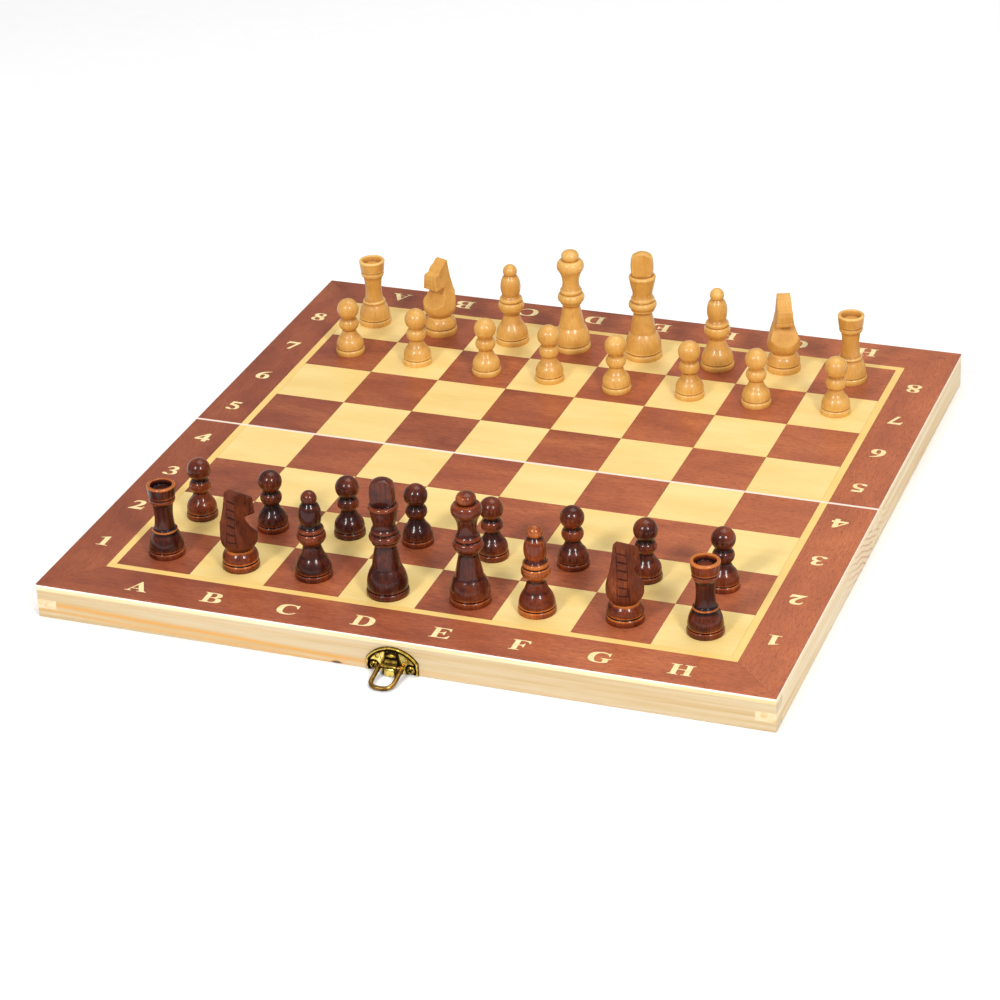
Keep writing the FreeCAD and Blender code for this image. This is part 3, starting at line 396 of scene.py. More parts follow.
# An outline lists corners; a third value of 1 marks the control point of a curve.
STEM = [(0, 0), (0, 4), (8, 5), (12, 9), (12, 91), (8, 95), (0, 96), (0, 100)]
GLYPHS = {
    "A": [[(0, 0), (32, 0), (32, 4), (24, 6), (22, 11), (27, 25), (63, 25), (70, 8), (68, 5), (60, 4),
           (60, 0), (107, 0), (107, 4), (98, 6), (94, 10), (57, 101), (52, 101), (17, 14), (12, 6), (0, 4)],
          [(29, 31), (60, 31), (46, 66)]],
    "B": [STEM + [(56, 100), (88, 98, 1), (88, 76), (88, 57, 1), (62, 52), (98, 48, 1), (98, 27),
                  (98, 1, 1), (58, 0)],
          [(36, 94), (46, 94), (62, 94, 1), (62, 75), (62, 55, 1), (46, 55), (36, 55)],
          [(36, 49), (48, 49), (70, 48, 1), (70, 27), (70, 6, 1), (48, 6), (36, 6, 1), (36, 14)]],
    "C": [[(94, 100), (94, 66), (89, 66), (82, 94, 1), (56, 94), (28, 94, 1), (28, 51), (28, 7, 1),
           (60, 7), (80, 7, 1), (92, 24), (96, 21), (82, -2, 1), (52, -2), (0, -2, 1), (0, 49),
           (0, 102, 1), (54, 102), (66, 102, 1), (78, 97), (85, 94, 1), (88, 100)]],
    "D": [STEM + [(50, 100), (104, 100, 1), (104, 50), (104, 0, 1), (48, 0)],
          [(36, 94), (46, 94), (76, 94, 1), (76, 50), (76, 6, 1), (46, 6), (36, 6, 1), (36, 14)]],
    "E": [STEM + [(84, 100), (86, 72), (81, 72), (76, 94, 1), (52, 94), (36, 94), (36, 55), (40, 55),
                  (58, 55, 1), (60, 70), (65, 70), (65, 34), (60, 34), (58, 49, 1), (42, 49), (36, 49),
                  (36, 14), (36, 6, 1), (46, 6), (56, 6), (80, 6, 1), (87, 30), (92, 30), (88, 0)]],
    "F": [STEM + [(82, 100), (84, 72), (79, 72), (74, 94, 1), (50, 94), (36, 94), (36, 54), (40, 54),
                  (56, 54, 1), (58, 69), (63, 69), (63, 33), (58, 33), (56, 48, 1), (42, 48), (36, 48),
                  (36, 9), (40, 5), (52, 4), (52, 0)]],
    "G": [[(94, 100), (94, 68), (89, 68), (82, 94, 1), (56, 94), (28, 94, 1), (28, 50), (28, 5, 1),
           (58, 5), (68, 5, 1), (70, 8), (70, 34), (67, 39), (58, 41), (58, 45), (106, 45), (106, 41),
           (97, 39), (94, 35), (94, 8), (76, -2, 1), (54, -2), (0, -2, 1), (0, 49), (0, 102, 1),
           (54, 102), (66, 102, 1), (78, 97), (85, 94, 1), (88, 100)]],
    "H": [STEM + [(48, 100), (48, 96), (40, 95), (36, 91), (36, 55), (72, 55), (72, 91), (68, 95),
                  (60, 96), (60, 100), (108, 100), (108, 96), (100, 95), (96, 91), (96, 9), (100, 5),
                  (108, 4), (108, 0), (60, 0), (60, 4), (68, 5), (72, 9), (72, 49), (36, 49), (36, 9),
                  (40, 5), (48, 4), (48, 0)]],
    "1": [[(10, 0), (10, 4), (22, 5), (28, 10), (28, 80), (24, 84), (8, 80), (8, 84), (50, 101),
           (52, 101), (52, 10), (56, 5), (68, 4), (68, 0)]],
    "2": [[(6, 72), (10, 101, 1), (38, 101), (68, 101, 1), (68, 74), (68, 52, 1), (34, 22), (54, 22),
           (68, 22, 1), (72, 34), (77, 34), (70, 0), (2, 0), (2, 4), (44, 46, 1), (44, 70), (44, 86, 1),
           (29, 86), (16, 86, 1), (11, 70)]],
    "3": [[(8, 76), (16, 101, 1), (38, 101), (66, 101, 1), (66, 78), (66, 64, 1), (52, 57), (72, 48, 1),
           (72, 29), (72, -1, 1), (28, -1), (2, -1, 1), (2, 12), (2, 22, 1), (13, 22), (20, 22, 1),
           (26, 12), (30, 5, 1), (37, 5), (52, 5, 1), (52, 24), (52, 46, 1), (24, 47), (24, 52),
           (44, 56, 1), (44, 74), (44, 87, 1), (31, 87), (20, 87, 1), (13, 74)]],
    "4": [[(42, 0), (66, 0), (66, 22), (78, 22), (78, 40), (66, 40), (66, 101), (52, 101), (0, 36),
           (0, 22), (42, 22)],
          [(42, 40), (42, 74), (14, 40)]],
    "5": [[(14, 100), (66, 100), (60, 82), (26, 82), (24, 70), (68, 62, 1), (68, 32), (68, -1, 1),
           (26, -1), (2, -1, 1), (2, 12), (2, 22, 1), (12, 22), (20, 22, 1), (28, 12), (33, 5, 1),
           (38, 5), (50, 8, 1), (50, 26), (50, 48, 1), (8, 54)]],
    "6": [[(70, 101), (70, 97), (34, 84, 1), (29, 56), (36, 62, 1), (46, 62), (74, 60, 1), (74, 31),
           (74, -1, 1), (38, -1), (2, -1, 1), (2, 36), (4, 92, 1)],
          [(27, 50), (26, 5, 1), (39, 5), (50, 5, 1), (50, 29), (50, 53, 1), (38, 53), (32, 53, 1)]],
    "7": [[(10, 100), (76, 100), (76, 95), (42, -1), (26, -1), (56, 80), (26, 80), (14, 80, 1),
           (8, 66), (3, 66)]],
    "8": [[(38, 101), (70, 101, 1), (70, 77), (70, 62, 1), (54, 55), (74, 46, 1), (74, 27),
           (74, -1, 1), (37, -1), (2, -1, 1), (2, 23), (2, 40, 1), (22, 49), (6, 58, 1), (6, 76),
           (6, 101, 1)],
          [(48, 60), (52, 66, 1), (52, 78), (52, 95, 1), (39, 95), (27, 95, 1), (27, 82), (27, 72, 1)],
          [(28, 45), (22, 38, 1), (22, 24), (22, 5, 1), (38, 5), (52, 5, 1), (52, 18), (52, 32, 1)]],
}


def drawn(contour, steps=6):
    """The contour's points, with each curve through a control point divided."""
    points = []
    count = len(contour)
    for i, spot in enumerate(contour):
        if len(spot) == 2:
            points.append(Vector(spot))
            continue
        a = Vector(contour[i - 1][:2])
        b = Vector(spot[:2])
        c = Vector(contour[(i + 1) % count][:2])
        for k in range(1, steps):
            t = k / steps
            points.append(a * (1 - t) ** 2 + b * 2 * t * (1 - t) + c * t * t)
    return points


def stamp(bm, glyph, x, y, turned, low, high, tall=0.0082, broad=1.2):
    contours = [drawn(c) for c in GLYPHS[glyph]]
    wide = max(p.x for p in contours[0])
    hand = -1 if turned else 1
    flat = []
    for contour in contours:
        flat.append([Vector((x + hand * (p.x - wide / 2) * broad * tall / 100,
                             y + hand * (p.y - 50) * tall / 100, 0)) for p in contour])
    spots = [p for contour in flat for p in contour]
    tops = [bm.verts.new((p.x, p.y, high)) for p in spots]
    feet = [bm.verts.new((p.x, p.y, low)) for p in spots]
    for a, b, c in geometry.tessellate_polygon(flat):
        bm.faces.new((tops[a], tops[b], tops[c]))
        bm.faces.new((feet[c], feet[b], feet[a]))
    start = 0
    for contour in flat:
        count = len(contour)
        for k in range(count):
            a, b = start + k, start + (k + 1) % count
            bm.faces.new((feet[a], feet[b], tops[b], tops[a]))
        start += count
    bmesh.ops.recalc_face_normals(bm, faces=bm.faces)


def piece_from(bm, name, material, body, replaced=(), smooth=False):
    """A finished piece from mesh code: its mesh is in place, in metres."""
    mesh = bpy.data.meshes.new(name)
    bm.to_mesh(mesh)
    bm.free()
    if smooth:
        mesh.polygons.foreach_set("use_smooth", [True] * len(mesh.polygons))
    made = bpy.data.objects.new(name, mesh)
    bpy.context.scene.collection.objects.link(made)
    mesh.materials.append(material)
    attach(made, body)
    if replaced:
        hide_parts(*replaced)
    return made


cream_ink, tree = new_material("cream_print")
ink = add(tree, "TexNoise", {"Scale": 700.0, "Detail": 4.0}, {"Vector": (add(tree, "TexCoord"), 3)})
ink_tone = add(tree, "ValToRGB", links={"Fac": ink}, stops=[(0.35, "#F2D48E"), (0.6, "#FAE6B0")])
surface(tree, {"Base Color": ink_tone}, Roughness=0.45, IOR=1.5, Coat_Weight=0.2, Coat_Roughness=0.3)
INK_SUNK, INK_PROUD = 0.00002, 0.00003
face_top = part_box("near_border")[1].z
ink_low, ink_high = face_top - INK_SUNK, face_top + INK_PROUD
for half, hand in (("near", -1), ("far", 1)):
    bm = bmesh.new()
    for i, letter in enumerate("ABCDEFGH"):
        stamp(bm, letter, (i - 3.5) * SQUARE - 0.0009 * hand, 0.1594 * hand, hand > 0, ink_low, ink_high)
    for i in range(4):
        rank = i + 1 if hand < 0 else i + 5
        for x, turned_round in ((-0.1584, False), (0.1567, True)):
            stamp(bm, str(rank), x, (rank - 4.5) * SQUARE, turned_round, ink_low, ink_high)
    piece_from(bm, half + "_figures", cream_ink, half + "_half")

# ---------------------------------------------------------------- hinges
# The butt hinges, their screws and pins are plain sheet and turned brass, let into the
# rails at the seam. The metal is bright, with a faint mottle where it was handled.
BRASS_ROUGH = 0.26
plain_brass, tree = new_material("plain_brass")
patina = add(tree, "TexNoise", {"Scale": 900.0, "Detail": 5.0, "Roughness": 0.65},
             {"Vector": (add(tree, "TexCoord"), 3)})
tone = add(tree, "ValToRGB", links={"Fac": patina},
           stops=[(0.36, "#A58443"), (0.5, "#C9A458"), (0.66, "#E6C87A")])
amount = add(tree, "MapRange", {1: 0.3, 2: 0.7, 3: BRASS_ROUGH + 0.15, 4: BRASS_ROUGH - 0.08},
          {"Value": patina})
bump = add(tree, "Bump", {"Strength": 0.2, "Distance": 0.00005}, {"Height": patina})
surface(tree, {"Base Color": tone, "Roughness": amount, "Normal": bump}, Metallic=1.0)
for name in ("near_hinge_left", "near_hinge_right", "far_hinge_left", "far_hinge_right",
             "near_hinge_screws", "far_hinge_screws", "hinge_pins"):
    put_material(nodes[name], plain_brass)

# ---------------------------------------------------------------- latch
# The half-moon plate is stamped brass with a beaded rim, dished screw holes and two
# dimples; its strap curls round the bronze loop and ends in a tongue. The far plate has
# a bent hook. Patina stays dark in the hollows; the strap, its tongue, the side facets and
# the loop also carry painted highlights and painted shade. Sizes here are in millimetres.
PLATE_HALF, PLATE_SIDE, PLATE_TALL, PLATE_LOW = 12.0, 6.0, 12.5, 0.3
RAIL_FACE, SHEET = 170, 0.8
RIM_ROUND = (PLATE_HALF ** 2 + (PLATE_TALL - PLATE_SIDE) ** 2) / (2 * (PLATE_TALL - PLATE_SIDE))
RIM_MIDDLE = PLATE_TALL - RIM_ROUND
SCREW_X, SCREW_Z = 8.5, 2.6
WIRE, WIRE_HIGH, CURL_OUT, CURL_ROUND = 1.05, 3.6, 2.38, 1.93


def blend(value, low, high):
    """A smooth step from 0 at low to 1 at high."""
    t = min(1.0, max(0.0, (value - low) / (high - low)))
    return t * t * (3 - 2 * t)


def swell(value, middle, reach):
    """A bell curve that is 1 at the middle."""
    return math.exp(-((value - middle) / reach) ** 2)


def stamped(x, z, strap):
    """Height of the stamped sheet over the rail, and its colour level: patina and wear, with painted
    highlights on the side facets and on the strap's crest and tab, and painted shade under the crest and
    along the strap's edges.
    """
    edge = min(RIM_ROUND - math.hypot(x, z - RIM_MIDDLE), PLATE_HALF - abs(x))
    bead = math.sin(math.pi * min(1.0, max(0.0, edge / 1.25)))
    high = SHEET + 0.5 * bead
    amount = 0.2 + 0.5 * bead if edge < 1.25 else 0.8
    amount -= 0.75 * (blend(edge, 0.8, 1.3) - blend(edge, 1.7, 2.5))
    # The raised side facets are also painted brighter: painted highlight.
    facet = abs(x) - 4.2 - (z - 3.0) * 0.25
    if 0 < facet < 2.2 and edge > 1.7:
        high += 0.25 * (1 - facet / 2.2)
        amount += 0.12
    screw = math.hypot(abs(x) - SCREW_X, z - SCREW_Z)
    high -= 0.35 * (1 - blend(screw, 2.2, 2.9))
    amount -= 0.8 * (1 - blend(screw, 2.5, 3.1))
    dimple = math.hypot(abs(x) - 6.8, z - 7.2)
    high -= 0.3 * (1 - blend(dimple, 0.3, 0.95))
    amount -= 0.5 * (blend(dimple, 0.2, 0.5) - blend(dimple, 0.8, 1.1))
    if strap:
        wide = 2.6 + (10.2 - z) * 0.17
        inside = 1 - blend(abs(x), wide - 0.35, wide + 0.25)
        arch = z + 0.14 * x * x
        crest = 1 - blend(arch, 9.2, 10.4)
        rise = 0.9 * crest + 0.35 * swell(z, 8.6, 0.6) - 0.25 * swell(z, 7.4, 0.5)
        lift = 0.9 * (1 - blend(z, 4.6, 7.2))
        high = high * (1 - inside) + (SHEET + rise + lift) * inside
        skirt_shade = blend(abs(x), wide - 0.7, wide) - blend(abs(x), wide + 0.3, wide + 0.9)
        inside *= crest
        # The strap's crest gets a painted highlight, the tab at z 6.2 painted light, and the band under the
        # crest at z 7.3 painted shade.
        amount = amount * (1 - inside) + (0.22 + 0.6 * swell(z, 8.5, 0.5) * swell(x, 0, 1.5)) * inside
        amount += (0.12 * swell(z, 6.2, 0.5) - 0.3 * swell(z, 7.3, 0.45)) * inside
        # The dark band along the strap's edges, where it rises from the plate, is painted shade.
        if z < 10.6:
            amount -= 0.6 * skirt_shade
        shade = blend(arch, 9.4, 10.0) - blend(arch, 10.4, 10.9)
        amount -= 0.6 * shade * (1 - blend(abs(x), 3.0, 3.6))
    return high, amount


def half_moon(bm, bright_level, out, strap):
    """The stamped sheet as a fine net of points on the rail's outer face; out is the
    direction, -1 or 1, in which it faces along Y."""
    columns, rows = 110, 60
    net = []
    for i in range(columns + 1):
        x = -PLATE_HALF + 2 * PLATE_HALF * i / columns
        top = RIM_MIDDLE + math.sqrt(RIM_ROUND ** 2 - x * x)
        line = []
        for j in range(rows + 1):
            z = PLATE_LOW + (top - PLATE_LOW) * j / rows
            high, amount = stamped(x, z, strap)
            if i in (0, columns) or j in (0, rows):
                high *= 0.7
            face = bm.verts.new((x / 1000, (RAIL_FACE + high) * out / 1000, z / 1000))
            face[bright_level] = amount
            line.append(face)
        net.append(line)
    for i in range(columns):
        for j in range(rows):
            bm.faces.new((net[i][j], net[i + 1][j], net[i + 1][j + 1], net[i][j + 1]))
    border = [net[i][0] for i in range(columns + 1)] + [net[columns][j] for j in range(1, rows + 1)]
    border += [net[i][rows] for i in range(columns - 1, -1, -1)]
    border += [net[0][j] for j in range(rows - 1, 0, -1)]
    backs = []
    for spot in border:
        back = bm.verts.new((spot.co.x, RAIL_FACE * out / 1000, spot.co.z))
        back[bright_level] = 0.3
        backs.append(back)
    for k in range(len(border)):
        j = (k + 1) % len(border)
        bm.faces.new((border[k], border[j], backs[j], backs[k]))
    bm.faces.new(backs)


def strip(bm, bright_level, outline, half, amount):
    """A bent strip of sheet: its outline in (out from the rail, up), in millimetres,
    runs across X for half to each side."""
    sides = []
    for x in (-half, half):
        row = []
        for far, high in outline:
            spot = bm.verts.new((x / 1000, (RAIL_FACE + far) / 1000, high / 1000))
            spot[bright_level] = amount
            row.append(spot)
        sides.append(row)
    made = [bm.faces.new(sides[0]), bm.faces.new(sides[1][::-1])]
    count = len(outline)
    for k in range(count):
        j = (k + 1) % count
        made.append(bm.faces.new((sides[0][k], sides[1][k], sides[1][j], sides[0][j])))
    edges = list({e for f in made for e in f.edges})
    bmesh.ops.bevel(bm, geom=edges, offset=0.00012, segments=2, profile=0.6, affect="EDGES",
                    clamp_overlap=True)


def pressed_brass(name, stops, rough, scale):
    """Brass whose patina came off the high places by rubbing; its level attribute, which also carries
    painted highlights and painted shade, says how bright each place is.
    """
    metal, tree = new_material(name)
    at = (add(tree, "TexCoord"), 3)
    wear_and_painted_light = add(tree, "Attribute", attribute_name="bright_level", attribute_type="GEOMETRY")
    patina = add(tree, "TexNoise", {"Scale": scale, "Detail": 5.0, "Roughness": 0.65}, {"Vector": at})
    part = add(tree, "Math", {1: 0.5}, {0: patina}, operation="SUBTRACT")
    level = add(tree, "Math", {1: 0.9}, {0: part, 2: (wear_and_painted_light, 2)}, operation="MULTIPLY_ADD")
    tone = add(tree, "ValToRGB", links={"Fac": level}, stops=stops)
    dull = add(tree, "MapRange", {1: 0.1, 2: 0.8, 3: rough + 0.22, 4: rough}, {"Value": level})
    bump = add(tree, "Bump", {"Strength": 0.3, "Distance": 0.00006}, {"Height": patina})
    surface(tree, {"Base Color": tone, "Roughness": dull, "Normal": bump}, Metallic=1.0)
    return metal


stamped_brass = pressed_brass("stamped_brass", [(0.08, "#1E160A"), (0.32, "#6A5322"), (0.6, "#C9A83E"),
                                                (0.9, "#F6E089")], 0.22, 620.0)
bronze_wire = pressed_brass("bronze_wire", [(0.1, "#3A2A14"), (0.4, "#7A5C2E"), (0.7, "#A8823F"),
                                            (0.95, "#E0BC74")], 0.28, 260.0)
screw_brass = pressed_brass("screw_brass", [(0.1, "#1C140A"), (0.4, "#6B5326"), (0.75, "#B8973F"),
                                            (0.95, "#F0DA92")], 0.24, 900.0)

for plate, body, out, strap in (("latch_plate", "near_half", -1, True),
                                ("catch_plate", "far_half", 1, False)):
    bm = bmesh.new()
    bright_level = bm.verts.layers.float.new("bright_level")
    if strap:
        curl = []
        for r, steps in ((CURL_ROUND, range(29)), (WIRE + 0.08, range(28, -1, -1))):
            for k in steps:
                angle = math.radians(128 - k * 11)
                curl.append((CURL_OUT + r * math.cos(angle), WIRE_HIGH + r * math.sin(angle)))
        # The curl is painted darker and the tongue brighter than the plate: painted shade under the curl,
        # and painted light on the tongue, which faces up and out.
        strip(bm, bright_level, curl, 2.95, 0.3)
        front = CURL_OUT + CURL_ROUND
        tongue = [(front - 0.1, WIRE_HIGH + 0.3), (front + 0.3, WIRE_HIGH - 0.4), (front + 0.3, 0.45),
                  (front - 0.42, 0.45), (front - 0.42, WIRE_HIGH - 0.5)]
        strip(bm, bright_level, tongue, 2.2, 0.72)
    else:
        reach = CURL_OUT + 1.8
        hook = [(0.5, 5.4), (reach, 5.4), (reach, 8.0), (reach - SHEET, 8.0),
                (reach - SHEET, 6.2), (0.5, 6.2)]
        strip(bm, bright_level, hook, 2.45, 0.6)
    if out < 0:
        for spot in bm.verts:
            spot.co.y = -spot.co.y
    half_moon(bm, bright_level, out, strap)
    bmesh.ops.recalc_face_normals(bm, faces=bm.faces)
    made = piece_from(bm, plate + "_stamped", stamped_brass, body, (plate,), True)
    made.data.set_sharp_from_angle(angle=math.radians(42))

HEAD, SHANK, SHANK_END, DOME, SIDES = 2.0, 0.95, -6.2, 2.5, 64


def screw_spot(hand, out, r, angle, high, amount):
    spot = bm.verts.new(((SCREW_X * hand + r * math.cos(angle)) / 1000, (RAIL_FACE + high) * out / 1000,
                         (SCREW_Z + r * math.sin(angle)) / 1000))
    spot[bright_level] = amount
    return spot


def cross_slot(u, v):
    """How far into the driver's cross this place on a screw head is, from 0 to 1."""
    return max(min(1 - blend(abs(u), 0.2, 0.34), 1 - blend(abs(v), 1.1, 1.3)),
               min(1 - blend(abs(v), 0.2, 0.34), 1 - blend(abs(u), 1.1, 1.3)))


for label, body, out in (("latch_screws", "near_half", -1), ("catch_screws", "far_half", 1)):
    bm = bmesh.new()
    bright_level = bm.verts.layers.float.new("bright_level")
    for hand, turned_by in ((-1, 0.5), (1, 1.1)):
        rings = []
        for i in range(25):
            r = HEAD * i / 24
            ring = []
            for k in range(SIDES if i else 1):
                angle = math.tau * k / SIDES
                slot = cross_slot(r * math.cos(angle + turned_by), r * math.sin(angle + turned_by))
                high = SHEET + math.sqrt(DOME ** 2 - r * r) - 1.55 - 0.55 * slot
                amount = 0.62 - 0.6 * slot - 0.3 * blend(r, 1.6, HEAD)
                ring.append(screw_spot(hand, out, r, angle, high, amount))
            rings.append(ring)
        for r, deep in ((HEAD, SHEET - 0.35), (SHANK, SHEET - 0.35), (SHANK, SHANK_END)):
            rings.append([screw_spot(hand, out, r, math.tau * k / SIDES, deep, 0.2) for k in range(SIDES)])
        for a, b in zip(rings, rings[1:]):
            for k in range(SIDES):
                j = (k + 1) % SIDES
                if len(a) == 1:
                    bm.faces.new((a[0], b[k], b[j]))
                else:
                    bm.faces.new((a[k], b[k], b[j], a[j]))
        bm.faces.new(rings[-1])
    bmesh.ops.recalc_face_normals(bm, faces=bm.faces)
    made = piece_from(bm, label + "_driven", screw_brass, body, (label,), True)
    made.data.set_sharp_from_angle(angle=math.radians(45))

LOOP_LEG, LOOP_REACH, LOOP_CORNER, LOOP_FOOT = 5.2, 13.8, 4.2, 0.5
WIRE_SIDES = 20
wire_path = []
for middle_x, middle_t, r, start in (
        (-LOOP_LEG + LOOP_FOOT, LOOP_FOOT, LOOP_FOOT, -90),
        (-LOOP_LEG + LOOP_CORNER, LOOP_REACH - LOOP_CORNER, LOOP_CORNER, 180),
        (LOOP_LEG - LOOP_CORNER, LOOP_REACH - LOOP_CORNER, LOOP_CORNER, 90),
        (LOOP_LEG - LOOP_FOOT, LOOP_FOOT, LOOP_FOOT, 0)):
    for k in range(13):
        angle = math.radians(start - 90 * k / 12)
        wire_path.append((middle_x + r * math.cos(angle), middle_t + r * math.sin(angle)))
even_path = []
for k, here in enumerate(wire_path):
    ahead = wire_path[(k + 1) % len(wire_path)]
    gap = math.dist(here, ahead)
    if gap < 1e-6:
        continue
    count = max(1, round(gap / 0.5))
    even_path += [(here[0] + (ahead[0] - here[0]) * i / count,
                   here[1] + (ahead[1] - here[1]) * i / count) for i in range(count)]
lean = math.asin((WIRE_HIGH - WIRE - 0.1) / LOOP_REACH)
reach_way = Vector((0, -math.cos(lean), -math.sin(lean)))
face_way = Vector((0, -math.sin(lean), math.cos(lean)))
root = Vector((0, -RAIL_FACE - CURL_OUT, WIRE_HIGH))
bm = bmesh.new()
bright_level = bm.verts.layers.float.new("bright_level")
rings = []
for k, (x, t) in enumerate(even_path):
    before, after = even_path[k - 1], even_path[(k + 1) % len(even_path)]
    run = Vector((after[0] - before[0], after[1] - before[1])).normalized()
    side_way = Vector((run.y, 0, 0)) - reach_way * run.x
    ring = []
    for i in range(WIRE_SIDES):
        angle = math.tau * i / WIRE_SIDES
        spot = bm.verts.new((root + Vector((x, 0, 0)) + reach_way * t
                             + (side_way * math.cos(angle) + face_way * math.sin(angle)) * WIRE) / 1000)
        # The side of the wire facing up is painted lighter and the side facing down darker: painted light
        # and shade. The noise term is patina.
        spot[bright_level] = 0.34 + 0.2 * math.sin(angle) - 0.3 * noise.noise(Vector((x, t, 0)) * 0.35)
        ring.append(spot)
    rings.append(ring)
for a, b in zip(rings, rings[1:] + rings[:1]):
    for i in range(WIRE_SIDES):
        j = (i + 1) % WIRE_SIDES
        bm.faces.new((a[i], a[j], b[j], b[i]))
bmesh.ops.recalc_face_normals(bm, faces=bm.faces)
piece_from(bm, "latch_loop_bent", bronze_wire, "loop", ("latch_loop",), True)

# ---------------------------------------------------------------- turned pieces
# Kings, queens, bishops, rooks and pawns are turned from one stick of boxwood each and
# dipped in lacquer; half the set is stained red-brown first. The staining wears through on
# sharp rings, where orange-brown wood shows through, and the grooves are darker, where
# lacquer gathers, with painted shade widening them into soft bands.

# A station is (per cent of foot radius, per cent of height) and may carry a point that
# the curve up to the next station passes through, or "dome".
TURNED = {
    "pawn": (14.7, 29.2, [
        (97.3, 0, 100, 4.4), (95.6, 9.0), (86.6, 10.2), (94.0, 11.6, 88.4, 22.6),
        (66.7, 31.2, 52.4, 37.3), (44.9, 43.8), (53.1, 45.2, 68.0, 54.5), (56.0, 62.3),
        (49.6, 63.7), (49.6, 67.2, "dome"), (0, 100)]),
    "rook": (16.6, 35, [
        (97.6, 0, 100, 3.6), (96.0, 7.6), (87.4, 8.6), (95.2, 9.8, 89.2, 20.6),
        (66.3, 33.7, 69.3, 35.4), (62.7, 37.1), (57.2, 38.3, 50.6, 57.1), (57.2, 73.1),
        (65.1, 75.4, 71.1, 78.9), (68.7, 81.7), (65.7, 82.6), (72.3, 83.7), (78.3, 96.6, 77.5, 99.2),
        (73.5, 100), (61.4, 100), (53.0, 92.0), (0, 90.9)]),
    "bishop": (17, 42.1, [
        (97.6, 0, 100, 3.0), (96.2, 6.2), (88.0, 7.1), (96.0, 8.2, 91.2, 14.4),
        (65.9, 24.7, 53.5, 31.4), (46.0, 37.4), (52.0, 37.9, 56.8, 39.6), (65.0, 41.4, 77.2, 47.4),
        (69.0, 52.4), (63.0, 52.9, 68.0, 55.8), (57.5, 58.8), (52.0, 61.2), (52.4, 62.6, 60.2, 72.5),
        (49.0, 83.2), (38.0, 86.2), (35.4, 87.0, 42.0, 92.4), (33.0, 96.6, "dome"), (0, 100)]),
    "queen": (18.6, 53.4, [
        (97.3, 0, 100, 2.4), (96.4, 5.0), (88.4, 5.8), (96.2, 6.8, 91.4, 15.7),
        (69.9, 23.6, 58.1, 33.7), (45.2, 45.0), (50.5, 45.3, 57.0, 46.9), (60.0, 48.4),
        (65.0, 49.0, 73.0, 53.0), (63.5, 56.4), (56.0, 56.9, 60.2, 59.3), (52.5, 61.5),
        (47.0, 64.4), (44.8, 68.0, 52.5, 75.2), (70.2, 81.0, 74.2, 84.8), (60.0, 89.7), (46.0, 90.3),
        (39.5, 90.2, 48.2, 93.9), (38.7, 97.8, "dome"), (0, 100)]),
    "king": (19.1, 56.3, [
        (97.4, 0, 100, 2.3), (96.4, 4.7), (88.1, 5.5), (95.8, 6.5, 90.1, 15.3),
        (67.0, 24.2, 58.6, 33.7), (46.0, 43.3), (55.0, 43.7, 63.2, 45.7), (62.5, 46.9),
        (66.0, 47.3, 74.2, 50.2), (65.5, 53.1), (58.5, 53.6, 62.6, 55.6), (56.0, 57.6),
        (52.5, 59.6), (52.5, 61.8, 60.8, 67.5), (69.5, 74.8, 69.7, 77.2), (62.0, 78.2), (54.5, 78.3),
        (57.2, 79.6, 60.4, 88.0), (57.0, 94.0), (52.5, 96.4, "dome"), (0, 100)]),
}


def arc(a, middle, b, steps=24):
    """Points after a, up to and with b, on the circle through the three."""
    ax, ay, bx, by, cx, cy = a.x, a.y, middle.x, middle.y, b.x, b.y
    d = 2 * (ax * (by - cy) + bx * (cy - ay) + cx * (ay - by))
    if abs(d) < 1e-12:
        return [a.lerp(b, k / steps) for k in range(1, steps + 1)]
    aa, bb, cc = a.length_squared, middle.length_squared, b.length_squared
    ux = (aa * (by - cy) + bb * (cy - ay) + cc * (ay - by)) / d
    uy = (aa * (cx - bx) + bb * (ax - cx) + cc * (bx - ax)) / d
    centre = Vector((ux, uy))
    start = math.atan2(ay - uy, ax - ux)
    via = (math.atan2(by - uy, bx - ux) - start) % math.tau
    sweep = (math.atan2(cy - uy, cx - ux) - start) % math.tau
    if via > sweep:
        sweep -= math.tau
    radius = (a - centre).length
    points = []
    for k in range(1, steps + 1):
        angle = start + sweep * k / steps
        points.append(centre + Vector((math.cos(angle), math.sin(angle))) * radius)
    return points


def profile(foot, tall, stations):
    """The outline in metres, evenly divided, with its sharp corners eased as sanding does."""
    r, h = foot / 2000, tall / 1000
    spots = [Vector((s[0] / 100 * r, s[1] / 100 * h)) for s in stations]
    line = [spots[0]]
    for i, station in enumerate(stations[:-1]):
        a, b = spots[i], spots[i + 1]
        if len(station) == 3:
            pole = b.y
            centre_y = (pole ** 2 - a.x ** 2 - a.y ** 2) / (2 * (pole - a.y))
            radius = pole - centre_y
            first = math.atan2(a.y - centre_y, a.x)
            for k in range(1, 25):
                angle = first + (math.pi / 2 - first) * k / 24
                line.append(Vector((math.cos(angle) * radius, centre_y + math.sin(angle) * radius)))
        elif len(station) == 4:
            line += arc(a, Vector((station[2] / 100 * r, station[3] / 100 * h)), b)
        else:
            line += [a.lerp(b, k / 6) for k in range(1, 7)]
    step = 0.00008
    even = [line[0]]
    for b in line[1:]:
        a = even[-1]
        while (b - a).length >= step:
            a = a + (b - a).normalized() * step
            even.append(a)
    even.append(line[-1])
    for _ in range(3):
        even = [even[0]] + [even[i - 1] * 0.25 + even[i] * 0.5 + even[i + 1] * 0.25
                            for i in range(1, len(even) - 1)] + [even[-1]]
    return even


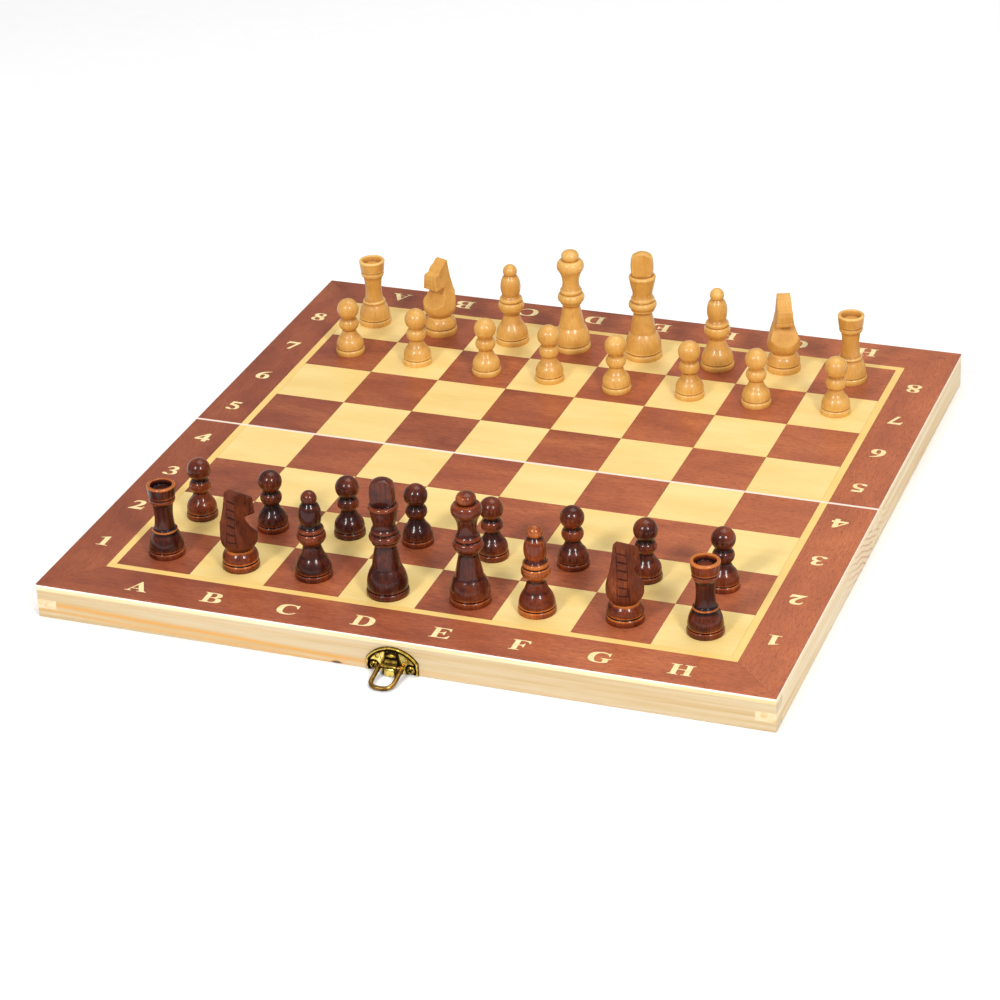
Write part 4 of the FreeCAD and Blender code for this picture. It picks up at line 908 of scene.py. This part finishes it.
def bends(even, reach=5):
    """How sharply the outline turns out (over 0) or in (under 0) at each point."""
    found = []
    last = len(even) - 1
    for i in range(len(even)):
        a, b, c = even[max(0, i - reach)], even[i], even[min(last, i + reach)]
        u, v = b - a, c - b
        found.append(0.0 if u.length * v.length == 0 else (u.x * v.y - u.y * v.x) / (u.length * v.length))
    # Smoothed wide, so that the painted shade of the grooves spreads into a soft band.
    for _ in range(16):
        found = [found[max(0, i - 1)] * 0.3 + found[i] * 0.4 + found[min(last, i + 1)] * 0.3
                 for i in range(len(found))]
    return found


def thinned(even, close=0.000012):
    """Which points of the outline are needed to keep it within a hair of the full one."""
    keep = {0, len(even) - 1}
    waiting = [(0, len(even) - 1)]
    while waiting:
        a, b = waiting.pop()
        run = even[b] - even[a]
        span = run.length or 1e-9
        worst, at = 0.0, None
        for i in range(a + 1, b):
            away = even[i] - even[a]
            off = abs(run.x * away.y - run.y * away.x) / span
            if off > worst:
                worst, at = off, i
        if at is not None and (worst > close or span > 0.0016):
            keep.add(at)
            waiting += [(a, at), (at, b)]
    return sorted(keep)


def lathe(bm, even, kept, curve, stain_and_shade, x, y, z, seed, tone, amount, sides=72):
    """Turns the outline round the piece's axis; the staining layer takes each point's colour
    level, and the amount is how much that follows the outline's bends: paler on rings, darker
    in the grooves, where lacquer gathers and shade is painted in."""
    rings = []
    for i in kept:
        r, h = even[i].x, even[i].y
        ring = []
        if r < 1e-6:
            spot = bm.verts.new((x, y, z + h))
            spot[stain_and_shade] = tone
            rings.append([spot])
            continue
        for k in range(sides):
            angle = math.tau * k / sides
            chatter = noise.noise(Vector((math.cos(angle) * 1.4, math.sin(angle) * 1.4, h * 160 + seed)))
            wide = r * (1 - 0.0025 * abs(chatter))
            spot = bm.verts.new((x + wide * math.cos(angle), y + wide * math.sin(angle), z + h))
            worn_band = noise.noise(Vector((seed, 0.3 * math.cos(angle), h * 75)))
            # Outward bends are paler where the staining wears through. Inward bends are darker, where
            # lacquer gathers and shade is painted in.
            spot[stain_and_shade] = tone + curve[i] * amount + worn_band * 0.22 * amount
            ring.append(spot)
        rings.append(ring)
    foot_spot = bm.verts.new((x, y, z))
    foot_spot[stain_and_shade] = tone
    first = rings[0]
    for k in range(sides):
        bm.faces.new((foot_spot, first[(k + 1) % sides], first[k]))
    for low, high in zip(rings, rings[1:]):
        for k in range(sides):
            j = (k + 1) % sides
            if len(high) == 1:
                bm.faces.new((low[k], low[j], high[0]))
            else:
                bm.faces.new((low[k], low[j], high[j], high[k]))


def polished_wood(name, tones, gloss, coat, shine=0.5):
    """Turned wood under lacquer: fine upright grain, deeper colour in the grooves, from
    gathered lacquer and painted shade, and paler wood where an edge was sanded through."""
    wood, tree = new_material(name)
    at = (add(tree, "TexCoord"), 3)
    stain_and_shade_level = add(tree, "Attribute", attribute_name="stain_and_shade", attribute_type="GEOMETRY")
    cloud = add(tree, "TexNoise", {"Scale": 120.0, "Detail": 3.0, "Distortion": 0.5}, {"Vector": at})
    grain = add(tree, "TexNoise", {"Scale": 1.0, "Detail": 4.0, "Roughness": 0.6},
                {"Vector": stretched(tree, 1500, 60, 2)})
    level = (stain_and_shade_level, 2)
    for pattern, strength in ((cloud, 0.6), (grain, 0.62)):
        part = add(tree, "Math", {1: 0.5}, {0: pattern}, operation="SUBTRACT")
        level = add(tree, "Math", {1: strength}, {0: part, 2: level}, operation="MULTIPLY_ADD")
    stops = [(i / (len(tones) - 1), code) for i, code in enumerate(tones)]
    tone = add(tree, "ValToRGB", links={"Fac": level}, stops=stops)
    sag = add(tree, "TexNoise", {"Scale": 420.0, "Detail": 2.0}, {"Vector": at})
    uneven = add(tree, "Math", {1: 0.35}, {0: grain, 2: sag}, operation="MULTIPLY_ADD")
    bump = add(tree, "Bump", {"Strength": 0.22, "Distance": 0.00012}, {"Height": uneven})
    surface(tree, {"Base Color": tone, "Normal": bump, "Coat Normal": bump}, Roughness=gloss,
            IOR=1.5, Coat_Weight=coat, Coat_Roughness=0.12, Specular_IOR_Level=shine)
    return wood


BOXWOOD_TONES = ["#945C20", "#C18638", "#D9A24E", "#E9BE6E"]
boxwood = polished_wood("lacquered_boxwood", BOXWOOD_TONES, 0.42, 0.3)
stained = polished_wood("stained_boxwood", ["#160403", "#3F140A", "#7A3312", "#BE6A2A"],
                        0.36, 0.5, 0.12)
sawn_boxwood = polished_wood("sawn_boxwood", BOXWOOD_TONES, 0.6, 0.06)
sawn_stained = polished_wood("sawn_stained_boxwood", ["#180603", "#3E1509", "#6E3014", "#A65C28"],
                             0.6, 0.06, 0.2)
STAIN_OF = {"dark_pawn_a2": 0.45, "dark_knight_b1": 0.3, "dark_bishop_f1": 0.52, "dark_knight_g1": 0.38,
            "dark_queen_e1": 0.42, "dark_rook_h1": 0.4, "dark_king_d1": 0.36}
RING_WEAR_AND_GROOVE_SHADE_OF = {"dark_king_d1": 0.6, "dark_queen_e1": 0.9}

shapes = {}
for kind, (foot, tall, stations) in TURNED.items():
    even = profile(foot, tall, stations)
    shapes[kind] = (even, thinned(even), bends(even))


def fan(bm, stain_and_shade, tone, x, y, z, turn, half, low):
    """Saws the king's finial flat on both sides: nothing above low stands further
    from the middle plane than half."""
    across = Vector((-math.sin(turn), math.cos(turn), 0))
    for spot in bm.verts:
        if spot.co.z - z < low:
            continue
        away = (spot.co - Vector((x, y, spot.co.z))).dot(across)
        if abs(away) > half:
            spot.co -= across * (away - math.copysign(half, away))
            spot[stain_and_shade] = tone


dice = random.Random(7)
KING_TURNS = {"dark_king_d1": 4, "light_king_e8": 14}
KING_FLAT_HALF, KING_FLAT_LOW = 0.0191 * 0.145, 0.0563 * 0.786
for name in sorted(nodes):
    kind = name.split("_")[1] if name.count("_") == 2 else ""
    if kind not in TURNED or name.split("_")[0] not in ("dark", "light"):
        continue
    low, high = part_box(name)
    x, y, z = (low.x + high.x) / 2, (low.y + high.y) / 2, low.z
    even, kept, curve = shapes[kind]
    dark = name.startswith("dark")
    bm = bmesh.new()
    stain_and_shade = bm.verts.layers.float.new("stain_and_shade")
    tone = STAIN_OF.get(name, 0.3 + dice.random() * 0.1) if dark else 0.5 + dice.random() * 0.16
    amount = RING_WEAR_AND_GROOVE_SHADE_OF.get(name, 1.25) if dark else 0.8
    lathe(bm, even, kept, curve, stain_and_shade, x, y, z, dice.random() * 50, tone, amount)
    if kind == "king":
        fan(bm, stain_and_shade, tone, x, y, z, math.radians(KING_TURNS[name]), KING_FLAT_HALF, KING_FLAT_LOW)
    bmesh.ops.recalc_face_normals(bm, faces=bm.faces)
    made = piece_from(bm, name + "_turned", stained if dark else boxwood, name,
                      (name,), True)
    made.data.set_sharp_from_angle(angle=math.radians(50))

# ---------------------------------------------------------------- knights
# A knight's head is sawn from a turned blank: a side profile, a tapered front view and
# the round blank meet in plain facets, with a ladder of knife cuts down the mane and a
# drilled eye. The sawn faces take the lacquer dull. The foot is turned as the rest are.
KNIGHT_FOOT = (17, 39.4, [
    (97.6, 0, 100, 3.4), (96.2, 7.6), (87.8, 8.8), (95.8, 10.2, 92.9, 16.0),
    (75.3, 22.3), (70.6, 23.6), (0, 23.6)])
SIDE_VIEW = [
    (-104, 23.6), (104, 23.6), (102, 38.6, 46, 47.5), (3, 65.6), (76, 64.2), (80, 78), (74, 84.4),
    (37, 85.8, 24, 91.0), (4, 93.6), (-26, 99.4), (-42, 100), (-50, 86), (-68, 62), (-96, 38),
    (-102, 33)]
FRONT_VIEW = [
    (-100, 23.6), (100, 23.6), (98, 35.5), (84, 44.4), (57, 61), (46, 76), (39, 100),
    (-39, 100), (-46, 76), (-57, 61), (-84, 44.4), (-98, 35.5)]
BLANK = [
    (68.0, 23.6), (70.6, 25.6, 88.2, 29.2), (97.6, 36.0), (97.6, 44.0), (90.0, 76.0),
    (84.0, 102), (0, 102)]
RADIUS, TALL = KNIGHT_FOOT[0] / 2000, KNIGHT_FOOT[1] / 1000
VOXEL, POLL_CUT = 0.00022, 0.949
FACING = {"dark_knight_b1": 68, "dark_knight_g1": 82, "light_knight_b8": 249, "light_knight_g8": -68}


def scratch(name, bm):
    mesh = bpy.data.meshes.new(name)
    bmesh.ops.recalc_face_normals(bm, faces=bm.faces)
    bm.to_mesh(mesh)
    bm.free()
    made = bpy.data.objects.new(name, mesh)
    bpy.context.scene.collection.objects.link(made)
    return made


def sawn_slab(name, view, along_x):
    """A slab of the outline, sawn through the blank along X or along Y."""
    spots = [Vector((v[0] / 100 * RADIUS, v[1] / 100 * TALL)) for v in view]
    line = []
    for i, station in enumerate(view):
        line.append(spots[i])
        if len(station) == 4:
            middle = Vector((station[2] / 100 * RADIUS, station[3] / 100 * TALL))
            line += arc(spots[i], middle, spots[(i + 1) % len(view)], 10)[:-1]
    bm = bmesh.new()
    ends = []
    for depth in (-RADIUS * 1.2, RADIUS * 1.2):
        ends.append([bm.verts.new((depth, p.x, p.y) if along_x else (p.x, depth, p.y)) for p in line])
    count = len(line)
    bm.faces.new(ends[0])
    bm.faces.new(ends[1][::-1])
    for k in range(count):
        j = (k + 1) % count
        bm.faces.new((ends[0][k], ends[0][j], ends[1][j], ends[1][k]))
    return scratch(name, bm)


def turned_blank():
    even = profile(KNIGHT_FOOT[0], KNIGHT_FOOT[1], BLANK)
    bm = bmesh.new()
    stain_and_shade = bm.verts.layers.float.new("stain_and_shade")
    lathe(bm, even, thinned(even), bends(even), stain_and_shade, 0, 0, 0, 1.0, 0.5, 0.0)
    for spot in bm.verts:
        if spot.co.length < 1e-6:
            spot.co.z = BLANK[0][1] / 100 * TALL
    return scratch("blank", bm)


def knife_work(p, n):
    """How deep the knife or drill went at this place on the head, in metres."""
    depth = 0.0
    up = p.z / TALL * 100
    if n.x < -0.35 and 33 < up < 93:
        across = p.y + 0.0004 + 0.0026 * (1 - (up - 33) / 60)
        inside = 1 - blend(abs(across), 0.0023, 0.0027)
        rung = abs(((up - 35) % 9.2) - 4.6) / 100 * TALL
        depth = 0.00042 * inside * (1 - blend(rung, 0.0001, 0.00034))
        rail = abs(abs(across) - 0.0025)
        depth = max(depth, 0.00028 * (1 - blend(rail, 0.00005, 0.00028)))
    if abs(n.y) > 0.5:
        eye_at = math.hypot(p.x - 0.0019, p.z - TALL * 0.805)
        depth = max(depth, 0.0004 * (1 - blend(eye_at, 0.00025, 0.00065)))
        jaw = abs(math.hypot(p.x - 0.0004, p.z - TALL * 0.745) - 0.0042)
        if p.x > 0.001 and up < 78:
            depth = max(depth, 0.00016 * (1 - blend(jaw, 0.0001, 0.0004)))
    if p.x > 0.0034 and up > 64:
        mouth = abs(p.z - TALL * 0.7 + (p.x - 0.0064) * 0.15)
        depth = max(depth, 0.0002 * (1 - blend(mouth, 0.0001, 0.0003)))
    return depth


side_slab = sawn_slab("side_slab", SIDE_VIEW, False)
front_slab = sawn_slab("front_slab", FRONT_VIEW, True)
blank = turned_blank()
for other in (front_slab, blank):
    saw = side_slab.modifiers.new("saw", "BOOLEAN")
    saw.operation = "INTERSECT"
    saw.solver = "EXACT"
    saw.object = other
even_out = side_slab.modifiers.new("even_out", "REMESH")
even_out.mode = "VOXEL"
even_out.voxel_size = VOXEL
bpy.context.view_layer.update()
seen = side_slab.evaluated_get(bpy.context.evaluated_depsgraph_get())
head_mesh = bpy.data.meshes.new_from_object(seen)
for done in (side_slab, front_slab, blank):
    bpy.data.objects.remove(done)
bm = bmesh.new()
bm.from_mesh(head_mesh)
for _ in range(2):
    bmesh.ops.smooth_vert(bm, verts=bm.verts, factor=0.5, use_axis_x=True, use_axis_y=True,
                          use_axis_z=True)
bm.normal_update()
carved = [knife_work(v.co, v.normal) for v in bm.verts]
carved_at = [v.co - v.normal * depth for v, depth in zip(bm.verts, carved)]
head_faces = [[v.index for v in f.verts] for f in bm.faces]
bm.free()

even = profile(*KNIGHT_FOOT)
kept, curve = thinned(even), bends(even)
for name, degrees in FACING.items():
    low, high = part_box(name)
    x, y, z = (low.x + high.x) / 2, (low.y + high.y) / 2, low.z
    dark = name.startswith("dark")
    bm = bmesh.new()
    stain_and_shade = bm.verts.layers.float.new("stain_and_shade")
    tone = STAIN_OF.get(name, 0.4) if dark else 0.55
    lathe(bm, even, kept, curve, stain_and_shade, x, y, z, degrees, tone, 1.6 if dark else 0.8)
    place_here = Matrix.Translation((x, y, z)) @ Matrix.Rotation(math.radians(degrees), 4, "Z")
    spots = []
    crown = TALL * (POLL_CUT if dark else 1.1)
    for p, depth in zip(carved_at, carved):
        spot = bm.verts.new(place_here @ Vector((p.x, p.y, min(p.z, crown))))
        # The knife cuts and the drilled eye are painted darker by their depth: painted shade in the
        # hollows.
        spot[stain_and_shade] = tone + (0.24 if dark else 0.0) - depth * 900
        spots.append(spot)
    for face in head_faces:
        bm.faces.new([spots[k] for k in face]).material_index = 1
    bmesh.ops.recalc_face_normals(bm, faces=bm.faces)
    made = piece_from(bm, name + "_carved", stained if dark else boxwood, name,
                      (name,), True)
    made.data.materials.append(sawn_stained if dark else sawn_boxwood)
    made.data.set_sharp_from_angle(angle=math.radians(40))

low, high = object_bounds()
